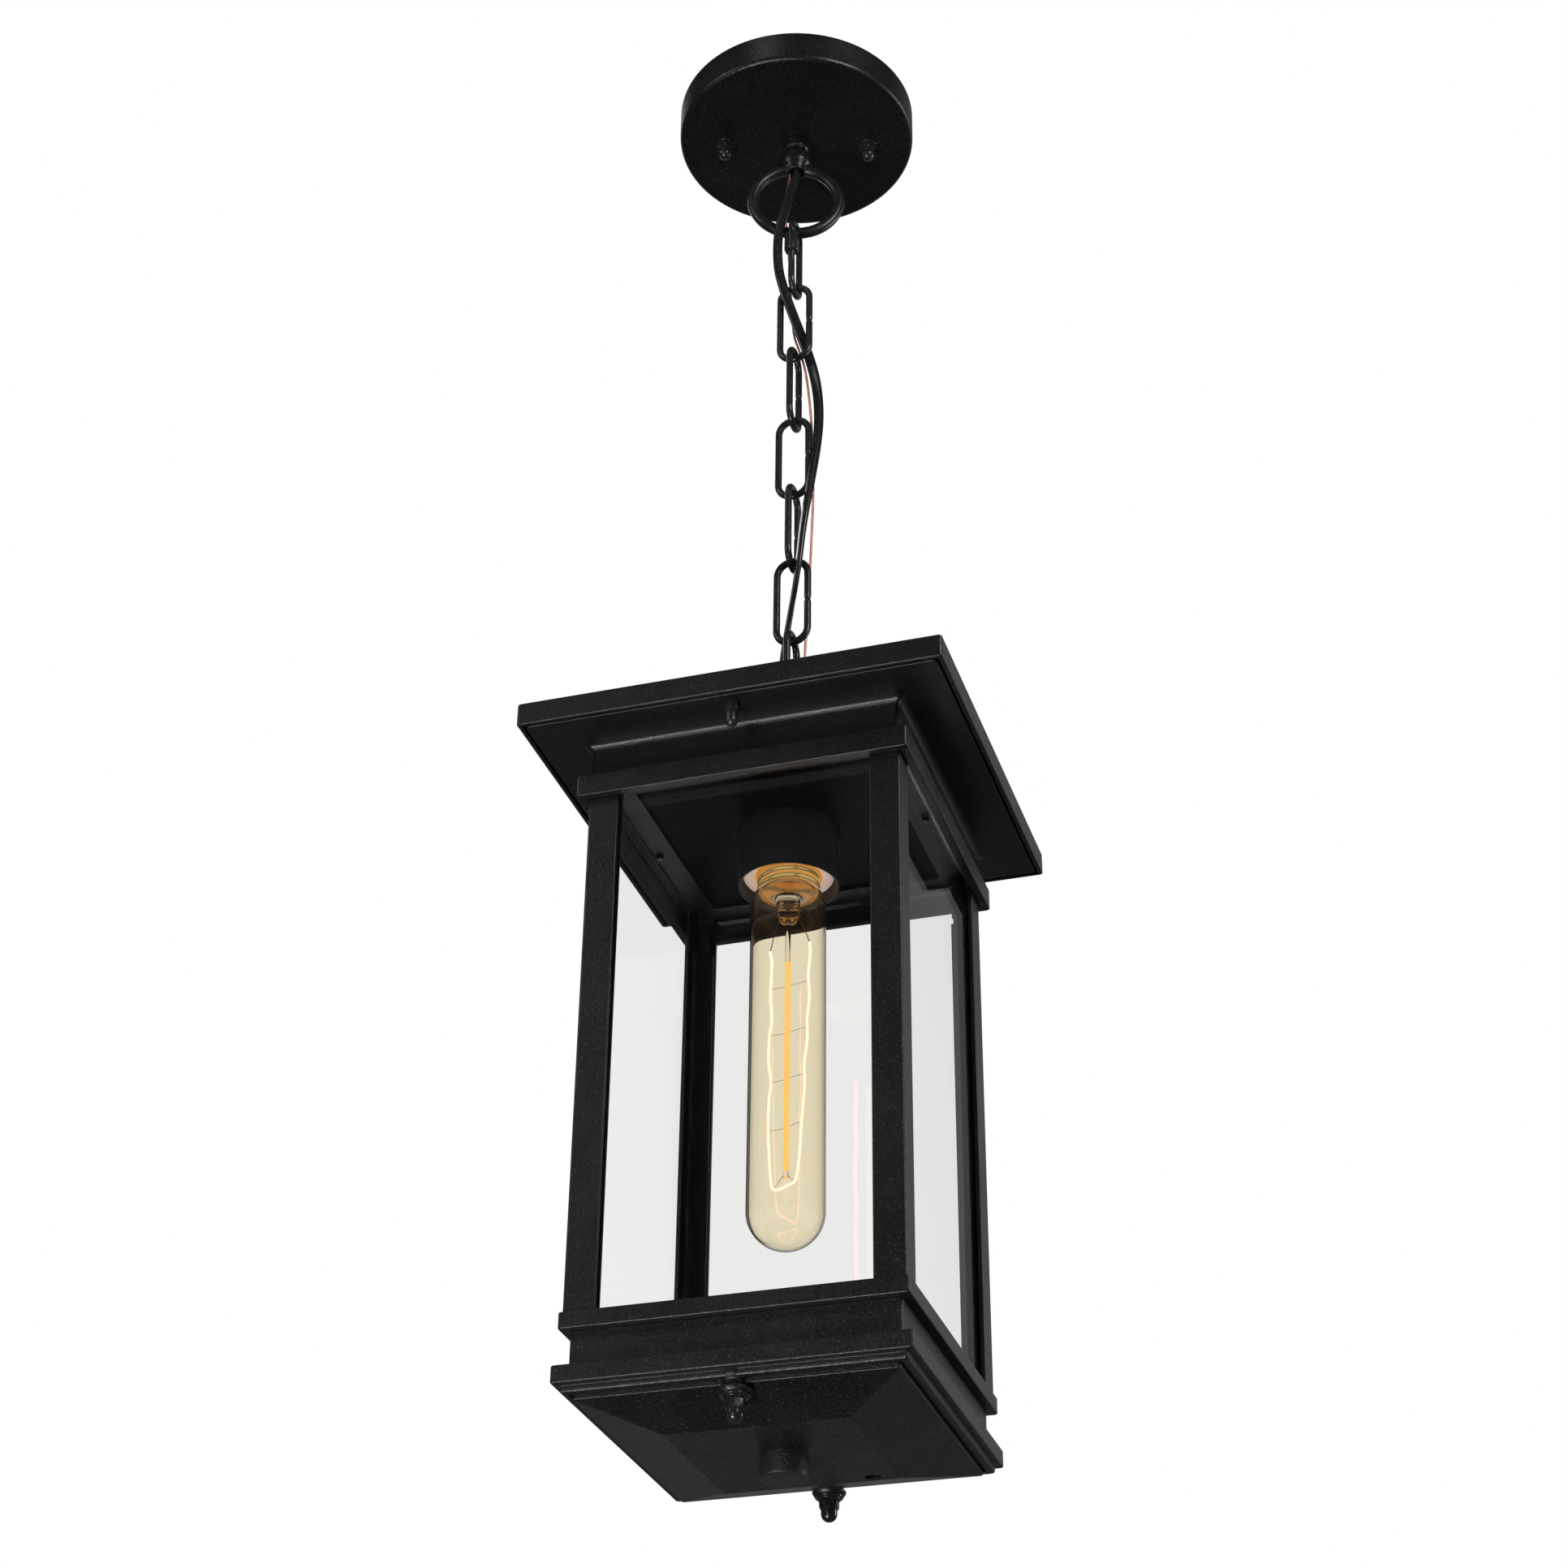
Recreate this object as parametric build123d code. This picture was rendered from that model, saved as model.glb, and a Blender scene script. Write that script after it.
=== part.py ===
from build123d import *
import os
from math import pi, radians, tan

# Hanging lantern, millimetres, +Z up. The origin is the centre of the canopy's rim, on the ceiling.
# The lantern's faces look along X and Y; the canopy, its strap and the top ring are turned about Z.

# ---- driving dimensions -------------------------------------------------------------------------

RUNNING = 0.05  # radial clearance of a screw or shaft in its hole
HANG_GAP = 0.2  # left between two wires that hang on each other

# ceiling side, turned about Z by CANOPY_TURN
CANOPY_TURN = 17.3
CANOPY_R = 57.15
CANOPY_HEIGHT = 17.0
CANOPY_WALL = 1.2
CANOPY_EDGE = 2.4
STRAP_LENGTH = 104.0
STRAP_WIDTH = 18.0
STRAP_THICK = 1.8
BOX_SCREW_SPACING = 89.0
BOX_SCREW_HOLE_R = 2.6
GROUND_SCREW_AT = (22.0, 0.0)
WASHER_THICK = 0.8
STUD_SPACING = 70.0
STUD_R = 1.95
NIPPLE_R = 4.7
NIPPLE_BORE_R = 3.7
NIPPLE_END_Z = -25.5
HUB_BALL_R = 7.0
HUB_BALL_Z = -29.0
HUB_NECK_R = 5.9
HUB_BOTTOM_Z = -36.4
CORD_HOLE_R = 3.6
RING_MID_R = 20.8
RING_WIRE_R = 2.7
RING_CENTRE_Z = -54.7

LEAD_R = 0.9

# chain
WIRE_R = 1.6
QUICK_HALF_WIDTH = 6.2
QUICK_WIRE_SPAN = 42.8  # between the wire centres at its two ends
SLEEVE_FLAT = 6.4
SLEEVE_LENGTH = 11.0
SLEEVE_TOP_Z = -81.5
QUICK_OPENING = 5.0
LINK_COUNT = 6
LINK_HALF_WIDTH = 7.1
LINK_WIRE_SPAN = 43.6
LINK_SEAM = 0.3

# loop on the roof
LOOP_MID_R = 11.0
LOOP_WIRE_R = 2.0
LOOP_BORE_TOP_Z = -366.0
ROOF_NIPPLE_END_Z = -397.0

# roof, soffit and cage: half widths and heights
ROOF_HALF = 88.9
ROOF_LIP = 1.9
ROOF_SKIN = 1.2
ROOF_EDGE_Z = -386.9
ROOF_BOTTOM_Z = -397.1
ROOF_TOP_Z = -378.0
ROOF_TOP_HALF = 12.0
SOFFIT_HALF = 86.0
SOFFIT_SKIN = 1.5
NECK_HALF = 64.8
NECK_WALL = 1.5
NECK_BOTTOM_Z = -412.9
FLANGE_INNER_HALF = 50.0
COLLAR_HALF = 69.1
COLLAR_SKIRT = 3.9
COLLAR_BOTTOM_Z = -422.6
POST_HALF = 65.0
POST_LEG = 12.5
POST_WALL = 2.0
GLASS_THICK = 3.0
GLASS_GAP = 0.3
CHANNEL_LEG = 7.0
CHANNEL_WALL = 1.0
SILL_HALF = 66.2
SILL_TOP_Z = -641.7
SILL_BOTTOM_Z = -648.2
SILL_LIP = 1.0
PLATE_SKIN = 1.5
SCREW_R = 1.45
SOFFIT_NUT_Y = 79.5
CORNER_SCREW_AT = 55.5
POSTS = [
    ("post_front_left", -1, -1),
    ("post_front_right", 1, -1),
    ("post_back_left", -1, 1),
    ("post_back_right", 1, 1),
]

# base
BASE_NECK_HALF = 62.5
BASE_NECK_WALL = 1.2
BASE_NECK_BOTTOM_Z = -667.4
BAND_HALF = 67.5
BAND_TOP_Z = -662.2
BAND_BOTTOM_Z = -669.0
MOULDING_HALF = 61.4
MOULDING_BOTTOM_Z = -673.1
FLAT_HALF = 35.0
FLAT_Z = -680.4
COVER_SKIN = 1.8
BOSS_Y = 58.8
BOSS_R = 6.2
BOSS_BOTTOM_Z = -677.0
KNOB_R = 9.1
KNOB_BOTTOM_Z = -688.9
VENT_R = 3.3
VENT_AT = (25.5, 31.0)

# lamp
BRACKET_LEG_X = 32.0
BRACKET_FOOT_X = 57.0
BRACKET_HALF_WIDTH = 7.0
BRACKET_SKIN = 1.5
SOCKET_SCREW_Y = 14.0
SOCKET_TOP_CAVITY_Z = -402.0
CONTACT_R = 3.0
CUP_R = 20.9
CUP_WALL = 0.8
CUP_TOP_Z = -391.5
CUP_RIM_Z = -438.9
SOCKET_R = 18.9
SOCKET_RIM_Z = -434.6
SHELL_R = 14.2
SHELL_WALL = 0.4
SHELL_TOP_Z = -408.0
CAP_R = 13.1
CAP_TOP_Z = -415.5
CAP_BOTTOM_Z = -441.5
BULB_R = 15.6
BULB_WALL = 0.8
BULB_SHOULDER_Z = -449.0
BULB_TIP_Z = -598.8
EYELET_HEIGHT = 3.8
THREAD_TURNS = 5
THREAD_PITCH = 3.63
STEM_TOP_Z = -440.5
STEM_END_Z = -569.0
FILAMENT_R = 0.25
FILAMENT_TURN = 17.2
FILAMENT_ROUTE = [
    (-7.3, 0.0, -469.3),
    (-7.6, 0.6, -520.0),
    (-6.9, 0.0, -563.0),
    (-5.0, 0.0, -574.2),
    (3.4, 0.0, -571.0),
    (5.6, -0.4, -556.0),
    (7.6, 0.6, -515.0),
    (8.9, 0.0, -464.5),
]
SUPPORT_COUNT = 5
SUPPORT_TOP_Z = -484.5
SUPPORT_STEP = 20.6
SUPPORT_REACH = 2.4
SUPPORT_TURN = 17.2

# cords
CORD_R = 2.4
GROUND_R = 0.6

# The supply cord's route, chosen by hand: out of the ring's hub, in front of the ring and quick link,
# through the first link's window, past the third, down the fifth and into the hub on the roof.
CORD_ROUTE = [
    (1.0, 0.3, -27.0),
    (0.7, 0.1, -38.5),
    (-0.4, -3.3, -47.0),
    (-2.1, -5.5, -58.0),
    (-4.2, -7.0, -69.0),
    (-6.2, -7.8, -80.0),
    (-6.7, -7.3, -92.0),
    (-6.4, -6.2, -103.0),
    (-4.5, -4.5, -113.0),
    (-1.7, -1.5, -124.0),
    (1.7, 1.9, -136.0),
    (5.4, 4.5, -149.0),
    (8.6, 4.8, -163.0),
    (10.7, 3.4, -178.0),
    (11.7, 1.3, -193.0),
    (11.5, -1.1, -208.0),
    (10.5, -3.1, -222.0),
    (9.1, -4.6, -236.0),
    (7.4, -5.5, -249.0),
    (5.9, -5.6, -262.0),
    (4.6, -4.6, -273.0),
    (2.2, -2.2, -285.0),
    (-0.7, 1.0, -296.0),
    (-3.6, 3.8, -308.0),
    (-5.8, 5.4, -320.0),
    (-6.6, 6.0, -334.0),
    (-6.0, 5.6, -347.0),
    (-3.6, 4.0, -358.0),
    (0.0, 1.4, -366.0),
    (-0.9, 0.0, -374.0),
    (-0.9, 0.1, -382.0),
]

# The bare ground wire's route, chosen by hand: it keeps mostly behind the chain, beside the cord.
GROUND_ROUTE = [
    (-2.6, -0.8, -27.0),
    (-2.5, -0.7, -38.5),
    (-5.0, 0.2, -48.0),
    (-5.6, 1.0, -60.0),
    (-4.9, 2.4, -75.0),
    (-3.9, 3.1, -92.0),
    (-3.3, 3.3, -110.0),
    (-2.3, 3.4, -127.0),
    (-1.3, 3.7, -138.0),
    (1.4, 3.1, -147.0),
    (3.6, 3.0, -155.0),
    (5.1, 2.9, -164.0),
    (6.3, 2.8, -175.0),
    (7.2, 2.8, -186.0),
    (7.9, 2.7, -197.0),
    (8.4, 2.9, -208.0),
    (8.6, 3.0, -220.0),
    (8.5, 3.2, -232.0),
    (8.3, 3.1, -244.0),
    (7.8, 3.3, -256.0),
    (7.3, 3.4, -270.0),
    (6.7, 3.5, -284.0),
    (6.0, 3.7, -298.0),
    (5.3, 3.6, -311.0),
    (4.7, 3.8, -324.0),
    (4.2, 3.9, -337.0),
    (3.8, 3.4, -349.0),
    (3.3, 1.5, -359.0),
    (2.7, -0.5, -367.0),
    (2.7, -0.3, -374.0),
    (2.6, 0.1, -382.0),
]

# ---- heights along the chain, from the driving dimensions ----------------------------------------

ring_bottom_z = RING_CENTRE_Z - RING_MID_R
quick_top_z = ring_bottom_z + RING_WIRE_R + WIRE_R + HANG_GAP
quick_bottom_z = quick_top_z - QUICK_WIRE_SPAN
link_step = LINK_WIRE_SPAN - 2 * WIRE_R - HANG_GAP
link_tops = [quick_bottom_z + 2 * WIRE_R + HANG_GAP - i * link_step for i in range(LINK_COUNT)]
last_link_bottom_z = link_tops[-1] - LINK_WIRE_SPAN
loop_top_z = last_link_bottom_z + WIRE_R + LOOP_WIRE_R + HANG_GAP
loop_centre_z = loop_top_z - LOOP_MID_R


# ---- shapes that repeat --------------------------------------------------------------------------


def rod(radius, z_low, z_high, x=0.0, y=0.0):
    """A solid cylinder along Z between two heights."""
    middle = (z_low + z_high) / 2
    return Pos(x, y, middle) * Cylinder(radius, z_high - z_low)


def tube(radius, bore, z_low, z_high, x=0.0, y=0.0):
    return rod(radius, z_low, z_high, x, y) - rod(bore, z_low - 1, z_high + 1, x, y)


def block(half_x, half_y, z_low, z_high, x=0.0, y=0.0):
    middle = (z_low + z_high) / 2
    return Pos(x, y, middle) * Box(2 * half_x, 2 * half_y, z_high - z_low)


def square_ring(half, inner_half, z_low, z_high):
    return block(half, half, z_low, z_high) - block(inner_half, inner_half, z_low - 1, z_high + 1)


def frustum(low_half, z_low, high_half, z_high):
    """A square pyramid cut flat, between two squares."""
    low = Plane((0, 0, z_low)) * Rectangle(2 * low_half, 2 * low_half)
    high = Plane((0, 0, z_high)) * Rectangle(2 * high_half, 2 * high_half)
    return loft(Sketch() + [low, high])


def hex_prism(flat, z_low, z_high, x=0.0, y=0.0):
    outline = Pos(x, y, z_low) * RegularPolygon(flat / 2, 6, major_radius=False)
    return extrude(outline, amount=z_high - z_low)


def hex_nut(flat, bore, z_low, z_high, x=0.0, y=0.0):
    return hex_prism(flat, z_low, z_high, x, y) - rod(bore, z_low - 1, z_high + 1, x, y)


def washer(radius, bore, z_top, thick, x, y):
    return tube(radius, bore, z_top - thick, z_top, x, y)


def cap_nut(flat, hex_height, dome_r, total, bore, z_top, x, y):
    """A domed nut that hangs below z_top, with a blind hole for its stud."""
    hexagon = hex_prism(flat, z_top - hex_height, z_top, x, y)
    ball_z = z_top - total + dome_r
    skirt = rod(dome_r, ball_z, z_top, x, y)
    dome = Pos(x, y, ball_z) * Sphere(dome_r)
    hole = rod(bore, ball_z, z_top + 1, x, y)
    return hexagon + skirt + dome - hole


def oval_link(half_width, span, top_z):
    """A closed oval of wire in the XZ plane. top_z and span are those of the wire's centre."""
    upper_z = top_z - half_width
    lower_z = top_z - span + half_width
    wire = rod(WIRE_R, lower_z, upper_z, half_width) + rod(WIRE_R, lower_z, upper_z, -half_width)
    for centre_z, side in ((upper_z, 1), (lower_z, -1)):
        bend = Pos(0, 0, centre_z) * Rot(90, 0, 0) * Torus(half_width, WIRE_R)
        keep = 2 * half_width
        wire += bend & (Pos(0, 0, centre_z + side * keep / 2) * Box(2 * keep, keep, keep))
    return wire


def turned(shape):
    """The ceiling side's parts are made along X and turned together."""
    return Rot(0, 0, CANOPY_TURN) * shape


def both_ends(maker, distance, along_y=True):
    """Two equal pieces, at plus and minus a distance along Y or X."""
    places = ((0, -distance), (0, distance)) if along_y else ((-distance, 0), (distance, 0))
    return [maker(x, y) for x, y in places]


def group(shapes):
    """One node of separate solids."""
    return Compound([solid for shape in shapes for solid in shape.solids()])


def corners(distance):
    return [(sx * distance, sy * distance) for sx in (-1, 1) for sy in (-1, 1)]


def cord_tube(name, points, radius):
    """A round tube along straight runs joined by arcs as large as the runs allow."""
    stations = [Vector(*p) for p in points]
    radii = []
    for before, corner, after in zip(stations, stations[1:], stations[2:]):
        turn = radians((corner - before).get_angle(after - corner))
        shorter = min((corner - before).length, (after - corner).length)
        radii.append(0.45 * shorter / tan(turn / 2))
    path = FilletPolyline(*stations, radius=radii)
    section = Plane(origin=path @ 0, z_dir=path % 0) * Circle(radius)
    solid = sweep(section, path=path)
    expected = pi * radius**2 * path.length
    print(f"{name}: length {path.length:.1f}, radii {min(radii):.1f} to {max(radii):.1f},", end=" ")
    print(f"volume over section times length {solid.volume / expected:.4f}")
    return solid


# ---- ceiling side --------------------------------------------------------------------------------


def make_crossbar():
    bar = Pos(0, 0, -STRAP_THICK / 2) * Box(STRAP_LENGTH, STRAP_WIDTH, STRAP_THICK)
    bar = fillet(bar.edges().filter_by(Axis.Z), STRAP_WIDTH / 2 - 1)
    bar -= rod(NIPPLE_R + RUNNING, -STRAP_THICK - 1, 1)
    for side in (-1, 1):
        bar -= rod(BOX_SCREW_HOLE_R, -STRAP_THICK - 1, 1, side * BOX_SCREW_SPACING / 2)
        bar -= rod(STUD_R + RUNNING, -STRAP_THICK - 1, 1, side * STUD_SPACING / 2)
    bar -= rod(STUD_R + RUNNING, -STRAP_THICK - 1, 1, *GROUND_SCREW_AT)
    return turned(bar)


def make_canopy():
    outer = rod(CANOPY_R, -CANOPY_HEIGHT, 0)
    outer = fillet(outer.edges().group_by(Axis.Z)[0], CANOPY_EDGE)
    inner = rod(CANOPY_R - CANOPY_WALL, -CANOPY_HEIGHT + CANOPY_WALL, 1)
    inner = fillet(inner.edges().group_by(Axis.Z)[0], CANOPY_EDGE - CANOPY_WALL)
    pan = outer - inner - rod(NIPPLE_R + 0.3, -CANOPY_HEIGHT - 1, 0)
    for side in (-1, 1):
        pan -= rod(STUD_R + 0.4, -CANOPY_HEIGHT - 1, 0, side * STUD_SPACING / 2)
    return turned(pan)


def make_canopy_studs():
    studs = both_ends(lambda x, y: rod(STUD_R, -22.6, -0.1, x, y), STUD_SPACING / 2, False)
    return turned(group(studs))


def make_canopy_washers():
    def one(x, y):
        return washer(4.5, STUD_R + 0.2, -CANOPY_HEIGHT, WASHER_THICK, x, y)

    return turned(group(both_ends(one, STUD_SPACING / 2, False)))


def make_canopy_cap_nuts():
    def one(x, y):
        top = -CANOPY_HEIGHT - WASHER_THICK
        return cap_nut(7.0, 3.4, 3.0, 9.0, STUD_R + RUNNING, top, x, y)

    return turned(group(both_ends(one, STUD_SPACING / 2, False)))


def make_ceiling_nipple():
    return turned(tube(NIPPLE_R, NIPPLE_BORE_R, NIPPLE_END_Z, -0.1))


def make_nipple_locknuts():
    bore = NIPPLE_R + RUNNING
    under_strap = hex_nut(14.0, bore, -STRAP_THICK - 3.0, -STRAP_THICK)
    in_canopy = hex_nut(14.0, bore, -CANOPY_HEIGHT + CANOPY_WALL, -CANOPY_HEIGHT + CANOPY_WALL + 3.0)
    return turned(group([under_strap, in_canopy]))


def make_hang_loop():
    """Neck, ball and ring in one casting, bored for the nipple above and the cord below."""
    neck = rod(HUB_NECK_R, HUB_BALL_Z, -CANOPY_HEIGHT)
    neck = fillet(neck.edges().group_by(Axis.Z)[-1], 1.2)
    groove = Pos(0, 0, -22.9) * Torus(HUB_NECK_R + 0.5, 0.9)
    ball = Pos(0, 0, HUB_BALL_Z) * Sphere(HUB_BALL_R)
    lower_lip = rod(CORD_HOLE_R + 1.2, HUB_BOTTOM_Z, HUB_BALL_Z)
    ring = Pos(0, 0, RING_CENTRE_Z) * Rot(90, 0, 0) * Torus(RING_MID_R, RING_WIRE_R)
    body = neck - groove + ball + lower_lip + ring
    body -= rod(NIPPLE_R + RUNNING, NIPPLE_END_Z, -CANOPY_HEIGHT + 1)
    body -= rod(CORD_HOLE_R, HUB_BOTTOM_Z - 2, -CANOPY_HEIGHT + 1)
    return turned(body)


def make_ground_screw():
    x, y = GROUND_SCREW_AT
    shank = rod(STUD_R, -6.0, -0.3, x, y)
    head = rod(4.0, -STRAP_THICK - 2.6, -STRAP_THICK, x, y)
    slot = Pos(x, y, -STRAP_THICK - 2.6) * Box(9, 0.9, 1.6)
    return turned(head + shank - slot)


def make_supply_leads():
    """The cord's two insulated conductors and the ground, stripped and led up through the nipple."""
    leads = [rod(LEAD_R, -26.8, -0.5, 1.0, y) for y in (-1.2, 1.8)]
    leads.append(rod(GROUND_R, -26.8, -0.5, -2.6, -0.8))
    return group(leads)


# ---- chain ---------------------------------------------------------------------------------------


def make_quick_link():
    """An oval of wire in the YZ plane, open on its near leg where the sleeve nut closes it."""
    upper_z = quick_top_z - QUICK_HALF_WIDTH
    lower_z = quick_bottom_z + QUICK_HALF_WIDTH
    wire = rod(WIRE_R, lower_z, upper_z, QUICK_HALF_WIDTH)
    wire += rod(WIRE_R, lower_z, upper_z, -QUICK_HALF_WIDTH)
    for centre_z, side in ((upper_z, 1), (lower_z, -1)):
        bend = Pos(0, 0, centre_z) * Rot(90, 0, 0) * Torus(QUICK_HALF_WIDTH, WIRE_R)
        keep = 2 * QUICK_HALF_WIDTH
        wire += bend & (Pos(0, 0, centre_z + side * keep / 2) * Box(2 * keep, keep, keep))
    wire = Rot(0, 0, 90) * wire
    opening_z = SLEEVE_TOP_Z - SLEEVE_LENGTH / 2
    return wire - (Pos(0, -QUICK_HALF_WIDTH, opening_z) * Box(6, 6, QUICK_OPENING))


def make_quick_link_sleeve():
    bottom_z = SLEEVE_TOP_Z - SLEEVE_LENGTH
    sleeve = Pos(0, -QUICK_HALF_WIDTH, 0) * Rot(0, 0, 30) * hex_prism(SLEEVE_FLAT, bottom_z, SLEEVE_TOP_Z)
    ends = rod(3.5, bottom_z, SLEEVE_TOP_Z, 0, -QUICK_HALF_WIDTH)
    sleeve = sleeve & chamfer(ends.edges().filter_by(GeomType.CIRCLE), 0.5)
    return sleeve - rod(WIRE_R + RUNNING, -130, -50, 0, -QUICK_HALF_WIDTH)


def make_chain_link(number):
    """Odd links lie in the XZ plane and even ones in the YZ plane, each with a butt seam on one leg."""
    top = link_tops[number - 1]
    link = oval_link(LINK_HALF_WIDTH, LINK_WIRE_SPAN, top)
    seam_z = top - LINK_WIRE_SPAN / 2
    link -= Pos(LINK_HALF_WIDTH, 0, seam_z) * Box(6, 6, LINK_SEAM)
    return link if number % 2 else Rot(0, 0, 90) * link


# ---- roof ----------------------------------------------------------------------------------------


def make_roof_loop():
    """A small cast loop whose hub takes the cord down and the roof's nipple up."""
    hub = rod(HUB_NECK_R + 1.4, ROOF_TOP_Z, loop_centre_z - LOOP_MID_R + 2.4)
    hub = fillet(hub.edges().group_by(Axis.Z)[-1], 1.5)
    ring = Pos(0, 0, loop_centre_z) * Rot(90, 0, 0) * Torus(LOOP_MID_R, LOOP_WIRE_R)
    above_roof = Pos(0, 0, ROOF_TOP_Z + 30) * Box(60, 60, 60)
    body = (hub + ring) & above_roof
    return body - rod(CORD_HOLE_R, -400, LOOP_BORE_TOP_Z) - rod(NIPPLE_R + RUNNING, -400, ROOF_TOP_Z + 4)


def make_roof_nipple():
    return tube(NIPPLE_R, NIPPLE_BORE_R, ROOF_NIPPLE_END_Z, ROOF_TOP_Z + 3.5)


def make_roof_nipple_nuts():
    """One nut under the roof and one inside the socket cup."""
    bore = NIPPLE_R + RUNNING
    under_roof = hex_nut(14.0, bore, ROOF_TOP_Z - ROOF_SKIN - 3.2, ROOF_TOP_Z - ROOF_SKIN - 0.2)
    in_cup = hex_nut(14.0, bore, CUP_TOP_Z - CUP_WALL - 3.0, CUP_TOP_Z - CUP_WALL)
    return group([under_roof, in_cup])


def make_roof_shell():
    """A low hipped roof with a deep square rim, open underneath."""
    outer = frustum(ROOF_HALF, ROOF_EDGE_Z, ROOF_TOP_HALF, ROOF_TOP_Z)
    outer += block(ROOF_HALF, ROOF_HALF, ROOF_BOTTOM_Z, ROOF_EDGE_Z)
    outer = fillet(outer.edges().group_by(Axis.Z)[0], 0.6)
    inner_half = ROOF_HALF - ROOF_LIP
    inner = frustum(inner_half, ROOF_EDGE_Z - ROOF_SKIN, ROOF_TOP_HALF, ROOF_TOP_Z - ROOF_SKIN)
    inner += block(inner_half, inner_half, ROOF_BOTTOM_Z - 1, ROOF_EDGE_Z - ROOF_SKIN)
    return outer - inner - rod(NIPPLE_R + 0.3, -400, -370)


def make_roof_tabs():
    """Two angle tabs inside the rim that carry the studs of the soffit."""
    tabs = []
    for side in (-1, 1):
        shelf = block(8, 8, -391.6, -390.0, 0, side * (SOFFIT_NUT_Y - 0.5))
        leg = block(8, 0.8, -395.0, -390.0, 0, side * (ROOF_HALF - ROOF_LIP - 0.8))
        tabs.append(shelf + leg - rod(SCREW_R + RUNNING, -395, -385, 0, side * SOFFIT_NUT_Y))
    return group(tabs)


def make_soffit():
    """The flat panel under the roof, drawn down into a square neck with a floor round the cup."""
    plate_top = ROOF_BOTTOM_Z + SOFFIT_SKIN
    inner_half = NECK_HALF - NECK_WALL
    panel = square_ring(SOFFIT_HALF, inner_half, ROOF_BOTTOM_Z, plate_top)
    neck = square_ring(NECK_HALF, inner_half, NECK_BOTTOM_Z, plate_top)
    floor_top = NECK_BOTTOM_Z + SOFFIT_SKIN
    body = panel + neck + block(NECK_HALF, NECK_HALF, NECK_BOTTOM_Z, floor_top)
    body -= rod(CUP_R + 0.7, NECK_BOTTOM_Z - 1, floor_top + 1)
    for side in (-1, 1):
        body -= rod(SCREW_R + 0.3, -400, -390, 0, side * SOFFIT_NUT_Y)
        body -= rod(SCREW_R + 0.1, -420, -405, side * BRACKET_FOOT_X, 0)
    for x, y in corners(CORNER_SCREW_AT):
        body -= rod(STUD_R + 0.2, -420, -405, x, y)
    return body


def make_soffit_studs():
    return group(both_ends(lambda x, y: rod(SCREW_R, -405.5, -388.6, x, y), SOFFIT_NUT_Y))


def make_soffit_cap_nuts():
    def one(x, y):
        return cap_nut(5.5, 3.6, 2.5, 11.0, SCREW_R + RUNNING, ROOF_BOTTOM_Z, x, y)

    return group(both_ends(one, SOFFIT_NUT_Y))


# ---- cage ----------------------------------------------------------------------------------------


def make_top_collar():
    skirt = square_ring(COLLAR_HALF, COLLAR_HALF - COLLAR_SKIRT, COLLAR_BOTTOM_Z, NECK_BOTTOM_Z)
    skirt = fillet(skirt.edges().group_by(Axis.Z)[0].filter_by_position(Axis.Z, -430, -400), 0.5)
    plate = square_ring(COLLAR_HALF - 1, FLANGE_INNER_HALF, NECK_BOTTOM_Z - PLATE_SKIN, NECK_BOTTOM_Z)
    body = skirt + plate
    for x, y in corners(CORNER_SCREW_AT):
        body -= rod(STUD_R + RUNNING, -420, -405, x, y)
    for side in (-1, 1):
        body -= rod(SCREW_R + RUNNING, -420, -405, side * BRACKET_FOOT_X)
    return body


def make_corner_screws():
    """Four pan-head screws down through the flange and the collar, their ends showing below."""
    screws = []
    for x, y in corners(CORNER_SCREW_AT):
        head = rod(3.6, NECK_BOTTOM_Z + SOFFIT_SKIN, NECK_BOTTOM_Z + SOFFIT_SKIN + 2.2, x, y)
        screws.append(head + rod(STUD_R, COLLAR_BOTTOM_Z - 9.0, NECK_BOTTOM_Z + SOFFIT_SKIN, x, y))
    return group(screws)


def make_corner_nuts():
    top = NECK_BOTTOM_Z - PLATE_SKIN
    nuts = [hex_nut(7.0, STUD_R + RUNNING, top - 3.2, top, x, y) for x, y in corners(CORNER_SCREW_AT)]
    return group(nuts)


def make_post(side_x, side_y):
    """An angle whose two legs cover the edges of the panes."""
    low = SILL_BOTTOM_Z + PLATE_SKIN
    high = NECK_BOTTOM_Z - PLATE_SKIN
    centre = POST_HALF - POST_LEG / 2
    inner_centre = centre - POST_WALL
    solid = block(POST_LEG / 2, POST_LEG / 2, low, high, side_x * centre, side_y * centre)
    hollow = block(POST_LEG / 2, POST_LEG / 2, low - 1, high + 1, side_x * inner_centre, side_y * inner_centre)
    return solid - hollow


def make_glass_channels():
    """Four narrow angles inside the corners that hold the panes against the posts."""
    low = SILL_BOTTOM_Z + PLATE_SKIN
    high = COLLAR_BOTTOM_Z - 10.0
    outer = POST_HALF - POST_WALL - GLASS_THICK - 2 * GLASS_GAP
    channels = []
    for side_x, side_y in corners(1):
        centre = outer - CHANNEL_LEG / 2
        solid = block(CHANNEL_LEG / 2, CHANNEL_LEG / 2, low, high, side_x * centre, side_y * centre)
        inner = centre - CHANNEL_WALL
        solid -= block(CHANNEL_LEG / 2, CHANNEL_LEG / 2, low - 1, high + 1, side_x * inner, side_y * inner)
        channels.append(solid)
    return group(channels)


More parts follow.
